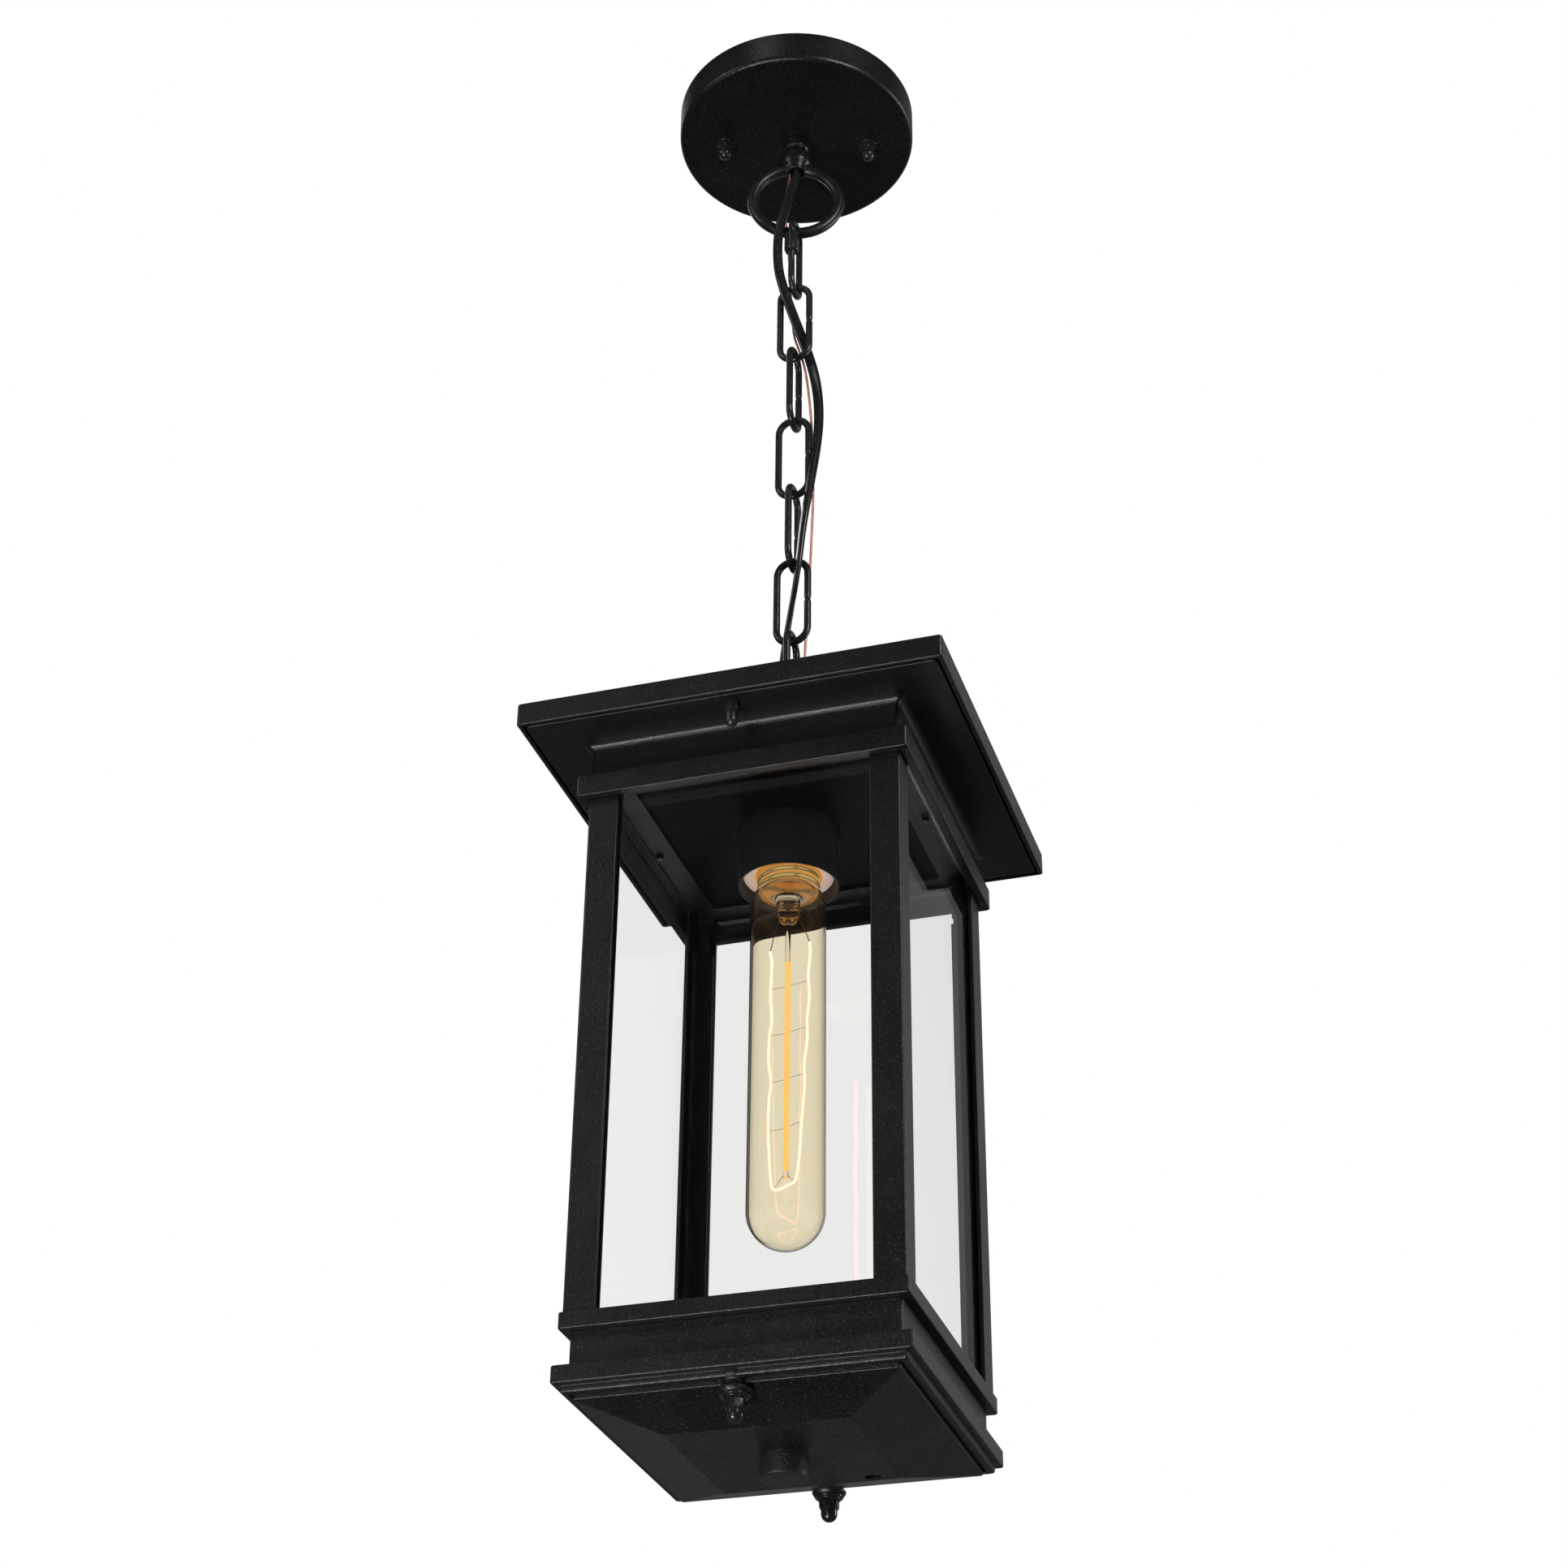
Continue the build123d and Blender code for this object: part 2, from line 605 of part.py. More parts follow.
def make_glass(side, along_y):
    """One flat pane. The front and back panes stand between the side ones."""
    middle = POST_HALF - POST_WALL - GLASS_GAP - GLASS_THICK / 2
    half_width = middle - GLASS_THICK / 2 - GLASS_GAP if along_y else middle + GLASS_THICK / 2
    low = SILL_BOTTOM_Z + PLATE_SKIN
    high = NECK_BOTTOM_Z - PLATE_SKIN - 1.0
    if along_y:
        return block(half_width, GLASS_THICK / 2, low, high, 0, side * middle)
    return block(GLASS_THICK / 2, half_width, low, high, side * middle, 0)


def make_sill_collar():
    skirt = square_ring(SILL_HALF, SILL_HALF - SILL_LIP, SILL_BOTTOM_Z, SILL_TOP_Z)
    plate = square_ring(SILL_HALF, FLANGE_INNER_HALF, SILL_BOTTOM_Z, SILL_BOTTOM_Z + PLATE_SKIN)
    return skirt + plate


# ---- lamp ----------------------------------------------------------------------------------------


def make_socket_bracket():
    """A hat-shaped strap across the neck: its crown carries the cup, its feet stand on the flange."""
    crown_z = CUP_TOP_Z
    foot_z = NECK_BOTTOM_Z + SOFFIT_SKIN
    crown = block(BRACKET_LEG_X, BRACKET_HALF_WIDTH, crown_z, crown_z + BRACKET_SKIN)
    body = crown
    for side in (-1, 1):
        leg_x = side * (BRACKET_LEG_X - BRACKET_SKIN / 2)
        body += block(BRACKET_SKIN / 2, BRACKET_HALF_WIDTH, foot_z, crown_z + BRACKET_SKIN, leg_x)
        foot_half = (NECK_HALF - NECK_WALL - 1 - BRACKET_LEG_X + BRACKET_SKIN) / 2
        foot_x = side * (BRACKET_LEG_X - BRACKET_SKIN + foot_half)
        body += block(foot_half, BRACKET_HALF_WIDTH, foot_z, foot_z + BRACKET_SKIN, foot_x)
        body -= rod(SCREW_R + RUNNING, foot_z - 5, foot_z + 5, side * BRACKET_FOOT_X)
    return body - rod(NIPPLE_R + 0.2, crown_z - 2, crown_z + 4)


def make_bracket_screws():
    foot_top = NECK_BOTTOM_Z + SOFFIT_SKIN + BRACKET_SKIN
    screws = []
    for side in (-1, 1):
        shank = rod(SCREW_R, NECK_BOTTOM_Z - 3.4, foot_top, side * BRACKET_FOOT_X)
        screws.append(shank + rod(2.8, foot_top, foot_top + 1.8, side * BRACKET_FOOT_X))
    return group(screws)


def make_socket_cup():
    cup = rod(CUP_R, CUP_RIM_Z, CUP_TOP_Z)
    cup = fillet(cup.edges().group_by(Axis.Z)[-1], 2.0)
    cup -= rod(CUP_R - CUP_WALL, CUP_RIM_Z - 1, CUP_TOP_Z - CUP_WALL)
    for side in (-1, 1):
        cup -= rod(SCREW_R + RUNNING, -395, -385, 0, side * SOCKET_SCREW_Y)
    return cup - rod(NIPPLE_R + 0.2, -395, -385)


def make_lamp_socket():
    """A ceramic body with a cavity above for the nipple's nut and a bore for the screw shell."""
    top = CUP_TOP_Z - CUP_WALL
    body = rod(SOCKET_R, SOCKET_RIM_Z, top)
    body = fillet(body.edges().group_by(Axis.Z)[0], 1.0)
    body -= rod(9.5, SOCKET_TOP_CAVITY_Z, top + 1)
    body -= rod(SHELL_R + RUNNING, SOCKET_RIM_Z - 1, SHELL_TOP_Z)
    body -= rod(CONTACT_R, SHELL_TOP_Z - 1, SOCKET_TOP_CAVITY_Z + 1)
    for side in (-1, 1):
        body -= rod(SCREW_R + RUNNING, top - 11, top + 1, 0, side * SOCKET_SCREW_Y)
    return body


def make_socket_screws():
    screws = []
    for side in (-1, 1):
        shank = rod(SCREW_R, CUP_TOP_Z - 10, CUP_TOP_Z, 0, side * SOCKET_SCREW_Y)
        screws.append(shank + rod(2.8, CUP_TOP_Z, CUP_TOP_Z + 1.8, 0, side * SOCKET_SCREW_Y))
    return group(screws)


def make_screw_shell():
    shell = tube(SHELL_R, SHELL_R - SHELL_WALL, SOCKET_RIM_Z + 0.4, SHELL_TOP_Z)
    return shell + tube(SHELL_R, CONTACT_R + 1.5, SHELL_TOP_Z - SHELL_WALL, SHELL_TOP_Z)


def make_centre_contact():
    """A brass pin in the ceramic's floor that the bulb's eyelet meets."""
    return rod(CONTACT_R - RUNNING, CAP_TOP_Z + EYELET_HEIGHT + 2.0, SOCKET_TOP_CAVITY_Z)


def make_socket_leads():
    """The cord's two conductors below the roof's nipple, ending on the socket's terminals."""
    top = CORD_ROUTE[-1][2] - 0.2
    return group(both_ends(lambda x, y: rod(LEAD_R, SOCKET_TOP_CAVITY_Z, top, x - 0.9, y), 1.4))


def make_bulb_cap():
    """The threaded shell of the bulb, with its insulator and eyelet."""
    shell = rod(CAP_R, CAP_BOTTOM_Z, CAP_TOP_Z) - rod(CAP_R - 0.8, CAP_BOTTOM_Z - 1, CAP_TOP_Z - 1.5)
    for turn in range(THREAD_TURNS):
        ridge_z = CAP_TOP_Z - 4.0 - turn * THREAD_PITCH
        shell -= Pos(0, 0, ridge_z) * Torus(CAP_R + 0.5, 0.8)
    insulator = Pos(0, 0, CAP_TOP_Z + 1.4) * Cone(CAP_R - 2.5, 5.5, 2.8)
    eyelet = rod(4.6, CAP_TOP_Z + 2.8, CAP_TOP_Z + EYELET_HEIGHT)
    return shell + insulator + eyelet


def make_bulb_glass():
    """A straight tube with a round end, drawn in at its shoulder to enter the cap."""
    tip_centre = BULB_TIP_Z + BULB_R
    outer = bulb_body(BULB_R, CAP_R - 0.9, tip_centre, CAP_BOTTOM_Z + 1.5)
    inner = bulb_body(BULB_R - BULB_WALL, CAP_R - 0.9 - BULB_WALL, tip_centre, CAP_BOTTOM_Z + 2.5)
    return outer - inner


def bulb_body(radius, neck_radius, tip_centre, top_z):
    body = rod(radius, tip_centre, BULB_SHOULDER_Z) + Pos(0, 0, tip_centre) * Sphere(radius)
    shoulder_top = CAP_BOTTOM_Z - 2.0
    height = shoulder_top - BULB_SHOULDER_Z
    body += Pos(0, 0, BULB_SHOULDER_Z + height / 2) * Cone(radius, neck_radius, height)
    return body + rod(neck_radius, shoulder_top, top_z)


def make_bulb_stem():
    """The glass foot, its pinch and the long centre rod that carries the filament's anchors."""
    foot = Pos(0, 0, STEM_TOP_Z - 3.5) * Cone(4.5, 11.2, 7.0)
    pinch = block(5.5, 2.0, STEM_TOP_Z - 16.0, STEM_TOP_Z - 6.0)
    return foot + pinch + rod(1.1, STEM_END_Z, STEM_TOP_Z - 15.0)


def make_filament():
    """One long hairpin of fine wire."""
    path = FilletPolyline(*[Vector(*p) for p in FILAMENT_ROUTE], radius=2.0)
    hoop = sweep(Plane(origin=path @ 0, z_dir=path % 0) * Circle(FILAMENT_R), path=path)
    return Rot(0, 0, FILAMENT_TURN) * hoop


def make_filament_supports():
    """Fine wires set in the rod that hold the hairpin off it."""
    supports = []
    for number in range(SUPPORT_COUNT):
        z = SUPPORT_TOP_Z - number * SUPPORT_STEP
        for side in (-1, 1):
            arm = Cylinder(0.15, SUPPORT_REACH)
            reach = side * (1.25 + SUPPORT_REACH / 2)
            supports.append(Rot(0, 0, SUPPORT_TURN) * Pos(reach, 0, z) * Rot(0, 90, 0) * arm)
    return group(supports)


# ---- base ----------------------------------------------------------------------------------------


def make_base_neck():
    inner_half = BASE_NECK_HALF - BASE_NECK_WALL
    body = square_ring(BASE_NECK_HALF, inner_half, BASE_NECK_BOTTOM_Z, SILL_BOTTOM_Z)
    body += square_ring(BASE_NECK_HALF, inner_half - 9, BASE_NECK_BOTTOM_Z, BASE_NECK_BOTTOM_Z + 1.5)
    for side in (-1, 1):
        body -= rod(STUD_R + RUNNING, -670, -660, 0, side * BOSS_Y)
    return body


def make_base_studs():
    studs = []
    for side in (-1, 1):
        head = rod(2.4, BASE_NECK_BOTTOM_Z + 1.5, BASE_NECK_BOTTOM_Z + 3.5, 0, side * BOSS_Y)
        studs.append(head + rod(STUD_R, -683.4, BASE_NECK_BOTTOM_Z + 1.6, 0, side * BOSS_Y))
    return group(studs)


def make_base_cover():
    """Band, moulding and a shallow hipped pan in one casting, with two bosses."""
    body = block(BAND_HALF, BAND_HALF, BAND_BOTTOM_Z, BAND_TOP_Z)
    body = fillet(body.edges().group_by(Axis.Z)[0], 0.5)
    body += block(MOULDING_HALF, MOULDING_HALF, MOULDING_BOTTOM_Z, BAND_BOTTOM_Z)
    body += block(BAND_HALF - 2.6, BAND_HALF - 2.6, BAND_BOTTOM_Z - 1.4, BAND_BOTTOM_Z)
    body += frustum(FLAT_HALF, FLAT_Z, MOULDING_HALF - 1.2, MOULDING_BOTTOM_Z)
    for side in (-1, 1):
        boss = Pos(0, side * BOSS_Y, (BOSS_BOTTOM_Z + BAND_BOTTOM_Z) / 2) * Cone(
            BOSS_R - 0.7, BOSS_R, BAND_BOTTOM_Z - BOSS_BOTTOM_Z
        )
        body += boss
    cavity = block(BASE_NECK_HALF + 0.2, BASE_NECK_HALF + 0.2, BASE_NECK_BOTTOM_Z - 0.2, BAND_TOP_Z + 1)
    low_half = MOULDING_HALF - COVER_SKIN
    cavity += block(50, 50, MOULDING_BOTTOM_Z + COVER_SKIN, BASE_NECK_BOTTOM_Z)
    cavity += frustum(
        FLAT_HALF - 1, FLAT_Z + COVER_SKIN, low_half - 9, MOULDING_BOTTOM_Z + COVER_SKIN
    )
    body -= cavity
    for side in (-1, 1):
        body -= rod(STUD_R + 0.25, -690, -660, 0, side * BOSS_Y)
    return body - rod(VENT_R, -690, -670, *VENT_AT)


def make_base_knob():
    knob = rod(KNOB_R, KNOB_BOTTOM_Z, FLAT_Z)
    return chamfer(knob.edges().group_by(Axis.Z)[0], 0.5)


def make_base_washers():
    def pair(x, y):
        upper = washer(5.6, STUD_R + 0.2, BOSS_BOTTOM_Z, 0.8, x, y)
        lower = washer(4.8, STUD_R + 0.2, BOSS_BOTTOM_Z - 0.8, 0.7, x, y)
        return upper + lower

    return group(both_ends(pair, BOSS_Y))


def make_base_cap_nuts():
    def one(x, y):
        return cap_nut(7.0, 3.6, 3.2, 8.6, STUD_R + RUNNING, BOSS_BOTTOM_Z - 1.5, x, y)

    return group(both_ends(one, BOSS_Y))


# ---- all the pieces ------------------------------------------------------------------------------

pieces = {
    "crossbar": make_crossbar(),
    "canopy": make_canopy(),
    "canopy_studs": make_canopy_studs(),
    "canopy_washers": make_canopy_washers(),
    "canopy_cap_nuts": make_canopy_cap_nuts(),
    "ceiling_nipple": make_ceiling_nipple(),
    "nipple_locknuts": make_nipple_locknuts(),
    "hang_loop": make_hang_loop(),
    "ground_screw": make_ground_screw(),
    "supply_leads": make_supply_leads(),
    "quick_link": make_quick_link(),
    "quick_link_sleeve": make_quick_link_sleeve(),
    "roof_loop": make_roof_loop(),
    "roof_nipple": make_roof_nipple(),
    "roof_nipple_nuts": make_roof_nipple_nuts(),
    "roof_shell": make_roof_shell(),
    "roof_tabs": make_roof_tabs(),
    "soffit": make_soffit(),
    "soffit_studs": make_soffit_studs(),
    "soffit_cap_nuts": make_soffit_cap_nuts(),
    "top_collar": make_top_collar(),
    "corner_screws": make_corner_screws(),
    "corner_nuts": make_corner_nuts(),
    "glass_channels": make_glass_channels(),
    "glass_front": make_glass(-1, True),
    "glass_back": make_glass(1, True),
    "glass_left": make_glass(-1, False),
    "glass_right": make_glass(1, False),
    "sill_collar": make_sill_collar(),
    "socket_bracket": make_socket_bracket(),
    "bracket_screws": make_bracket_screws(),
    "socket_cup": make_socket_cup(),
    "lamp_socket": make_lamp_socket(),
    "socket_screws": make_socket_screws(),
    "screw_shell": make_screw_shell(),
    "centre_contact": make_centre_contact(),
    "socket_leads": make_socket_leads(),
    "bulb_cap": make_bulb_cap(),
    "bulb_glass": make_bulb_glass(),
    "bulb_stem": make_bulb_stem(),
    "filament": make_filament(),
    "filament_supports": make_filament_supports(),
    "base_neck": make_base_neck(),
    "base_studs": make_base_studs(),
    "base_cover": make_base_cover(),
    "base_knob": make_base_knob(),
    "base_washers": make_base_washers(),
    "base_cap_nuts": make_base_cap_nuts(),
    "supply_cord": cord_tube("supply_cord", CORD_ROUTE, CORD_R),
    "ground_wire": cord_tube("ground_wire", GROUND_ROUTE, GROUND_R),
}
for number in range(1, LINK_COUNT + 1):
    pieces[f"chain_link_{number}"] = make_chain_link(number)
for name, side_x, side_y in POSTS:
    pieces[name] = make_post(side_x, side_y)

os.makedirs("parts", exist_ok=True)
for name, piece in pieces.items():
    export_step(piece, f"parts/{name}.step")
print(len(pieces), "nodes")
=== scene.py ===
from math import cos, pi, radians, sin, tan

import bmesh
import bpy
from mathutils import Matrix, Vector


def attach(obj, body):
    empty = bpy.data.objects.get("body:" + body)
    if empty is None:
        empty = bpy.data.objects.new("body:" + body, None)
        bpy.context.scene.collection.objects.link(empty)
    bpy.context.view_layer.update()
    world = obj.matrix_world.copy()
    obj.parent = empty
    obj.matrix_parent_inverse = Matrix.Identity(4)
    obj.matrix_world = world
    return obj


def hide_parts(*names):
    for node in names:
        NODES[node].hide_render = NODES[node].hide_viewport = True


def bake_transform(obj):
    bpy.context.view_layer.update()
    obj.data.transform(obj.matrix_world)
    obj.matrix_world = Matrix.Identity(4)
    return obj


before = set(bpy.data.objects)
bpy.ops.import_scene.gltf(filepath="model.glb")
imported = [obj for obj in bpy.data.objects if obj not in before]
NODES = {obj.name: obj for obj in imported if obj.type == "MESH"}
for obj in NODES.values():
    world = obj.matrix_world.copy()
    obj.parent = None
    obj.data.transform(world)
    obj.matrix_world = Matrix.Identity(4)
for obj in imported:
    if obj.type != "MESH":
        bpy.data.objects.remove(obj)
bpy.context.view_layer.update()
MM = 0.001


# ---- driving dimensions, in millimetres, with z measured down from the ceiling ----

SHEET = 1.2
PLATE = 1.5
HANG_GAP = 0.2  # left between two wires that hang on each other

CANOPY_TURN = radians(17.3)  # the canopy, strap and ring are turned about Z
CANOPY_R = 57.15
CANOPY_FACE_Z = -17.0
NIPPLE_HOLE_R = 4.9
CORD_HOLE_R = 3.6
STUD_X = 35.0
WASHER_THICK = 0.8
RING_MID_R = 20.8
RING_WIRE_R = 2.7
RING_CENTRE_Z = -54.7

WIRE_R = 1.6
QUICK_HALF_WIDTH = 6.2
QUICK_SPAN = 42.8  # between the wire's centres at the two ends, as LINK_SPAN
QUICK_OPENING = 5.0
QUICK_OPENING_Z = -87.0
QUICK_THREAD_TOP_Z = -78.4
QUICK_THREAD_LOW_Z = -98.6
QUICK_THREAD_PITCH = 0.8
SLEEVE_TOP_Z = -81.5
SLEEVE_LENGTH = 11.0
SLEEVE_FLAT = 6.4
SLEEVE_BORE_R = 1.66
LINK_COUNT = 6
LINK_HALF_WIDTH = 7.1
LINK_SPAN = 43.6
LINK_SEAM = 0.3
LOOP_MID_R = 11.0
LOOP_WIRE_R = 2.0

RING_LOW_Z = RING_CENTRE_Z - RING_MID_R
QUICK_TOP_Z = RING_LOW_Z + RING_WIRE_R + WIRE_R + HANG_GAP
QUICK_LOW_Z = QUICK_TOP_Z - QUICK_SPAN
LINK_PITCH = LINK_SPAN - 2 * WIRE_R - HANG_GAP
LINK_TOPS = [QUICK_LOW_Z + LINK_SPAN - LINK_PITCH * number for number in range(1, LINK_COUNT + 1)]
LOOP_CENTRE_Z = LINK_TOPS[-1] - LINK_SPAN + WIRE_R + LOOP_WIRE_R + HANG_GAP - LOOP_MID_R

ROOF_HALF = 88.9
ROOF_LIP = 1.9
ROOF_TOP_HALF = 12.0
ROOF_TOP_Z = -378.0
ROOF_EDGE_Z = -386.9
ROOF_BOTTOM_Z = -397.1
SOFFIT_HALF = 86.0
SOFFIT_NUT_Y = 79.5
NECK_HALF = 64.8
NECK_BOTTOM_Z = -412.9
CUP_HOLE_R = 21.6
COLLAR_HALF = 69.1
COLLAR_SKIRT = 3.9
COLLAR_BOTTOM_Z = -422.6
FLANGE_HALF = 50.0
POST_HALF = 65.0
POST_LEG = 12.5
POST_WALL = 2.0
SILL_HALF = 66.2
SILL_LIP = 1.0
SILL_TOP_Z = -641.7
SILL_BOTTOM_Z = -648.2

CUP_R = 20.9
CUP_WALL = 0.8
CUP_TOP_Z = -391.5
CUP_RIM_Z = -438.9
SOCKET_R = 18.9
SOCKET_BORE_R = 14.35
SOCKET_TOP_Z = -392.6
SOCKET_RIM_Z = -434.6
THREAD_PITCH = 3.63
CAP_R = 13.1
CAP_TOP_Z = -417.0
CAP_BOTTOM_Z = -441.5
BULB_R = 15.6
BULB_WALL = 0.8
BULB_NECK_R = 12.15
BULB_SHOULDER_Z = -450.5
BULB_TIP_Z = -598.8
FILAMENT_TURN = radians(17.2)  # the hairpin's plane and the stem's pinch are turned about Z

BASE_NECK_HALF = 62.5
BASE_NECK_BOTTOM_Z = -667.4
BAND_HALF = 67.5
BAND_TOP_Z = -662.2
BAND_BOTTOM_Z = -669.0
FLAT_HALF = 35.0
FLAT_Z = -680.4
COVER_SKIN = 1.8
BOSS_Y = 58.8
BOSS_BOTTOM_Z = -677.0
BOSS_BORE_R = 2.2
VENT_R = 3.3
VENT_AT = (25.5, 31.0)
KNOB_R = 9.1
KNOB_BOTTOM_Z = -688.9


# ---- camera ----


def make_camera():
    """Below the lantern and in front of it, looking up."""
    data = bpy.data.cameras.new("camera")
    data.lens = 65.5
    data.sensor_width = 36.0
    data.clip_start = 0.01
    data.clip_end = 50.0
    camera = bpy.data.objects.new("camera", data)
    bpy.context.scene.collection.objects.link(camera)
    right = Vector((0.95548, 0.29492, 0.00907))
    up = Vector((0.14843, -0.50699, 0.84908))
    back = right.cross(up)
    matrix = Matrix((right, up, back)).transposed().to_4x4()
    matrix.translation = Vector((0.30549, -0.97940, -1.02581))
    camera.matrix_world = matrix
    bpy.context.scene.camera = camera


make_camera()


# ---- mesh helpers, in millimetres ----


def new_object(name, verts, faces, sharp):
    mesh = bpy.data.meshes.new(name)
    mesh.from_pydata([tuple(c * MM for c in v) for v in verts], [], faces)
    mesh.validate()
    finish_mesh(mesh, sharp)
    obj = bpy.data.objects.new(name, mesh)
    bpy.context.scene.collection.objects.link(obj)
    return obj


def finish_mesh(mesh, sharp):
    """Welds doubles, turns the faces outward and shades smooth up to an angle."""
    bm = bmesh.new()
    bm.from_mesh(mesh)
    bmesh.ops.remove_doubles(bm, verts=bm.verts, dist=1e-6)
    bmesh.ops.recalc_face_normals(bm, faces=bm.faces)
    bm.to_mesh(mesh)
    bm.free()
    mesh.polygons.foreach_set("use_smooth", [True] * len(mesh.polygons))
    mesh.set_sharp_from_angle(angle=radians(sharp))


def rounded(points, steps=4):
    """A closed outline of (u, v, radius) corners, with each corner turned into an arc."""
    out = []
    count = len(points)
    for i, (u, v, radius) in enumerate(points):
        corner = Vector((u, v))
        before = Vector(points[i - 1][:2]) - corner
        after = Vector(points[(i + 1) % count][:2]) - corner
        turn = pi - before.angle(after)
        cut = min(radius * tan(turn / 2), before.length * 0.49, after.length * 0.49)
        if radius <= 0 or cut < 1e-4:
            out.append((u, v))
            continue
        start = corner + before.normalized() * cut
        end = corner + after.normalized() * cut
        for k in range(steps + 1):
            t = k / steps
            p = start * (1 - t) ** 2 + corner * 2 * t * (1 - t) + end * t**2
            out.append((p.x, p.y))
    return out


def ring_faces(rings, count, closed):
    """Quads between rings of count points each. closed joins the last ring to the first."""
    faces = []
    last = rings if closed else rings - 1
    for i in range(last):
        a, b = i * count, ((i + 1) % rings) * count
        for k in range(count):
            n = (k + 1) % count
            faces.append((a + k, a + n, b + n, b + k))
    return faces


def round_ring(z, radius, segments, at=(0, 0)):
    """Points round a vertical axis. radius(angle) gives their distance from it."""
    angles = [2 * pi * k / segments for k in range(segments)]
    return [(at[0] + radius(angle) * cos(angle), at[1] + radius(angle) * sin(angle), z) for angle in angles]


def hexagon(angle, half):
    """Distance from the middle of a hexagon to its side. half is half its width across the flats."""
    return half / cos((angle + pi / 6) % (pi / 3) - pi / 6)


def lathe(name, outline, at=(0, 0), segments=72, closed=True, sharp=40.0):
    """Turns an outline of (radius, z) about a vertical axis."""
    verts = []
    for radius, z in outline:
        verts += round_ring(z, lambda angle, radius=radius: radius, segments, at)
    return new_object(name, verts, ring_faces(len(outline), segments, closed), sharp)


def square_ring_points(half, corner):
    """A square with rounded corners, one after another from the +X +Y corner."""
    arc = 4
    points = []
    centre = half - corner
    for quarter, (sx, sy) in enumerate(((1, 1), (-1, 1), (-1, -1), (1, -1))):
        for k in range(arc + 1):
            angle = pi / 2 * (quarter + k / arc)
            points.append((sx * centre + corner * cos(angle), sy * centre + corner * sin(angle)))
    return points


def square_sweep(name, outline, corner):
    """Carries a closed outline of (half width, z) round a square with slightly rounded corners."""
    verts = []
    for half, z in outline:
        verts += [(x, y, z) for x, y in square_ring_points(half, min(corner, half * 0.5))]
    return new_object(name, verts, ring_faces(len(outline), len(verts) // len(outline), True), 35.0)


def extrude(name, outline, z_low, z_high):
    """A straight upright bar with the given outline in plan."""
    count = len(outline)
    verts = [(x, y, z_low) for x, y in outline] + [(x, y, z_high) for x, y in outline]
    faces = ring_faces(2, count, False)
    faces += [tuple(range(count)), tuple(range(2 * count - 1, count - 1, -1))]
    return new_object(name, verts, faces, 35.0)


def frames_along(points):
    """Two steady normals at each point of a path."""
    count = len(points)
    tangents = []
    for i in range(count):
        tangents.append((points[min(i + 1, count - 1)] - points[max(i - 1, 0)]).normalized())
    side = Vector((0, 1, 0)) if abs(tangents[0].y) < 0.9 else Vector((1, 0, 0))
    out = []
    for tangent in tangents:
        side = (side - tangent * side.dot(tangent)).normalized()
        out.append((side, tangent.cross(side)))
    return out


def tube_mesh(name, points, section, sharp=50.0, axes=None):
    """A tube along points in mm. section(i) gives the outline at point i as (a, b) pairs."""
    verts = []
    for i, (point, (side, other)) in enumerate(zip(points, axes or frames_along(points))):
        verts += [tuple(point + side * a + other * b) for a, b in section(i)]
    count = len(verts) // len(points)
    last = (len(points) - 1) * count
    faces = ring_faces(len(points), count, False)
    faces += [tuple(range(count)), tuple(range(last + count - 1, last - 1, -1))]
    return new_object(name, verts, faces, sharp)


def circle(radius, count):
    return [(radius * cos(2 * pi * k / count), radius * sin(2 * pi * k / count)) for k in range(count)]


def joined(name, objects):
    """Several meshes as one object."""
    bm = bmesh.new()
    for obj in objects:
        bm.from_mesh(obj.data)
    mesh = bpy.data.meshes.new(name)
    bm.to_mesh(mesh)
    bm.free()
    for obj in objects:
        old = obj.data
        bpy.data.objects.remove(obj)
        bpy.data.meshes.remove(old)
    obj = bpy.data.objects.new(name, mesh)
    bpy.context.scene.collection.objects.link(obj)
    return obj


def applied(obj):
    """Bakes the object's modifiers into its mesh."""
    depsgraph = bpy.context.evaluated_depsgraph_get()
    mesh = bpy.data.meshes.new_from_object(obj.evaluated_get(depsgraph))
    old = obj.data
    obj.modifiers.clear()
    obj.data = mesh
    bpy.data.meshes.remove(old)


def cast_together(obj, voxel, smooth):
    """Fuses overlapping shapes into one casting with soft inner corners."""
    remesh = obj.modifiers.new("remesh", "REMESH")
    remesh.mode = "VOXEL"
    remesh.voxel_size = voxel * MM
    soft = obj.modifiers.new("soft", "SMOOTH")
    soft.factor = 0.5
    soft.iterations = smooth
    applied(obj)
    obj.data.polygons.foreach_set("use_smooth", [True] * len(obj.data.polygons))


def cut(obj, cutter):
    """Takes one shape out of another and deletes the cutter."""
    boolean = obj.modifiers.new("cut", "BOOLEAN")
    boolean.object = cutter
    boolean.operation = "DIFFERENCE"
    boolean.solver = "EXACT"
    applied(obj)
    old = cutter.data
    bpy.data.objects.remove(cutter)
    bpy.data.meshes.remove(old)
    obj.data.set_sharp_from_angle(angle=radians(35))


def drill(obj, radius, low_z, high_z, at=(0, 0), segments=48):
    """Makes a round upright hole through an object."""
    outline = [(0.0, low_z), (radius, low_z), (radius, high_z), (0.0, high_z)]
    cut(obj, lathe("drill", outline, at, segments, closed=False))


def flat_shading(obj):
    """Keeps wide faces flat beside their rounded edges."""
    weighted = obj.modifiers.new("weighted", "WEIGHTED_NORMAL")
    weighted.keep_sharp = True
    return obj


def eased(obj, width):
    """Rounds the edges of a CAD node."""
    bevel = obj.modifiers.new("eased", "BEVEL")
    bevel.width = width * MM
    bevel.segments = 2
    bevel.limit_method = "ANGLE"
    bevel.angle_limit = radians(40)
    bevel.harden_normals = False
    flat_shading(obj)


# ---- materials ----


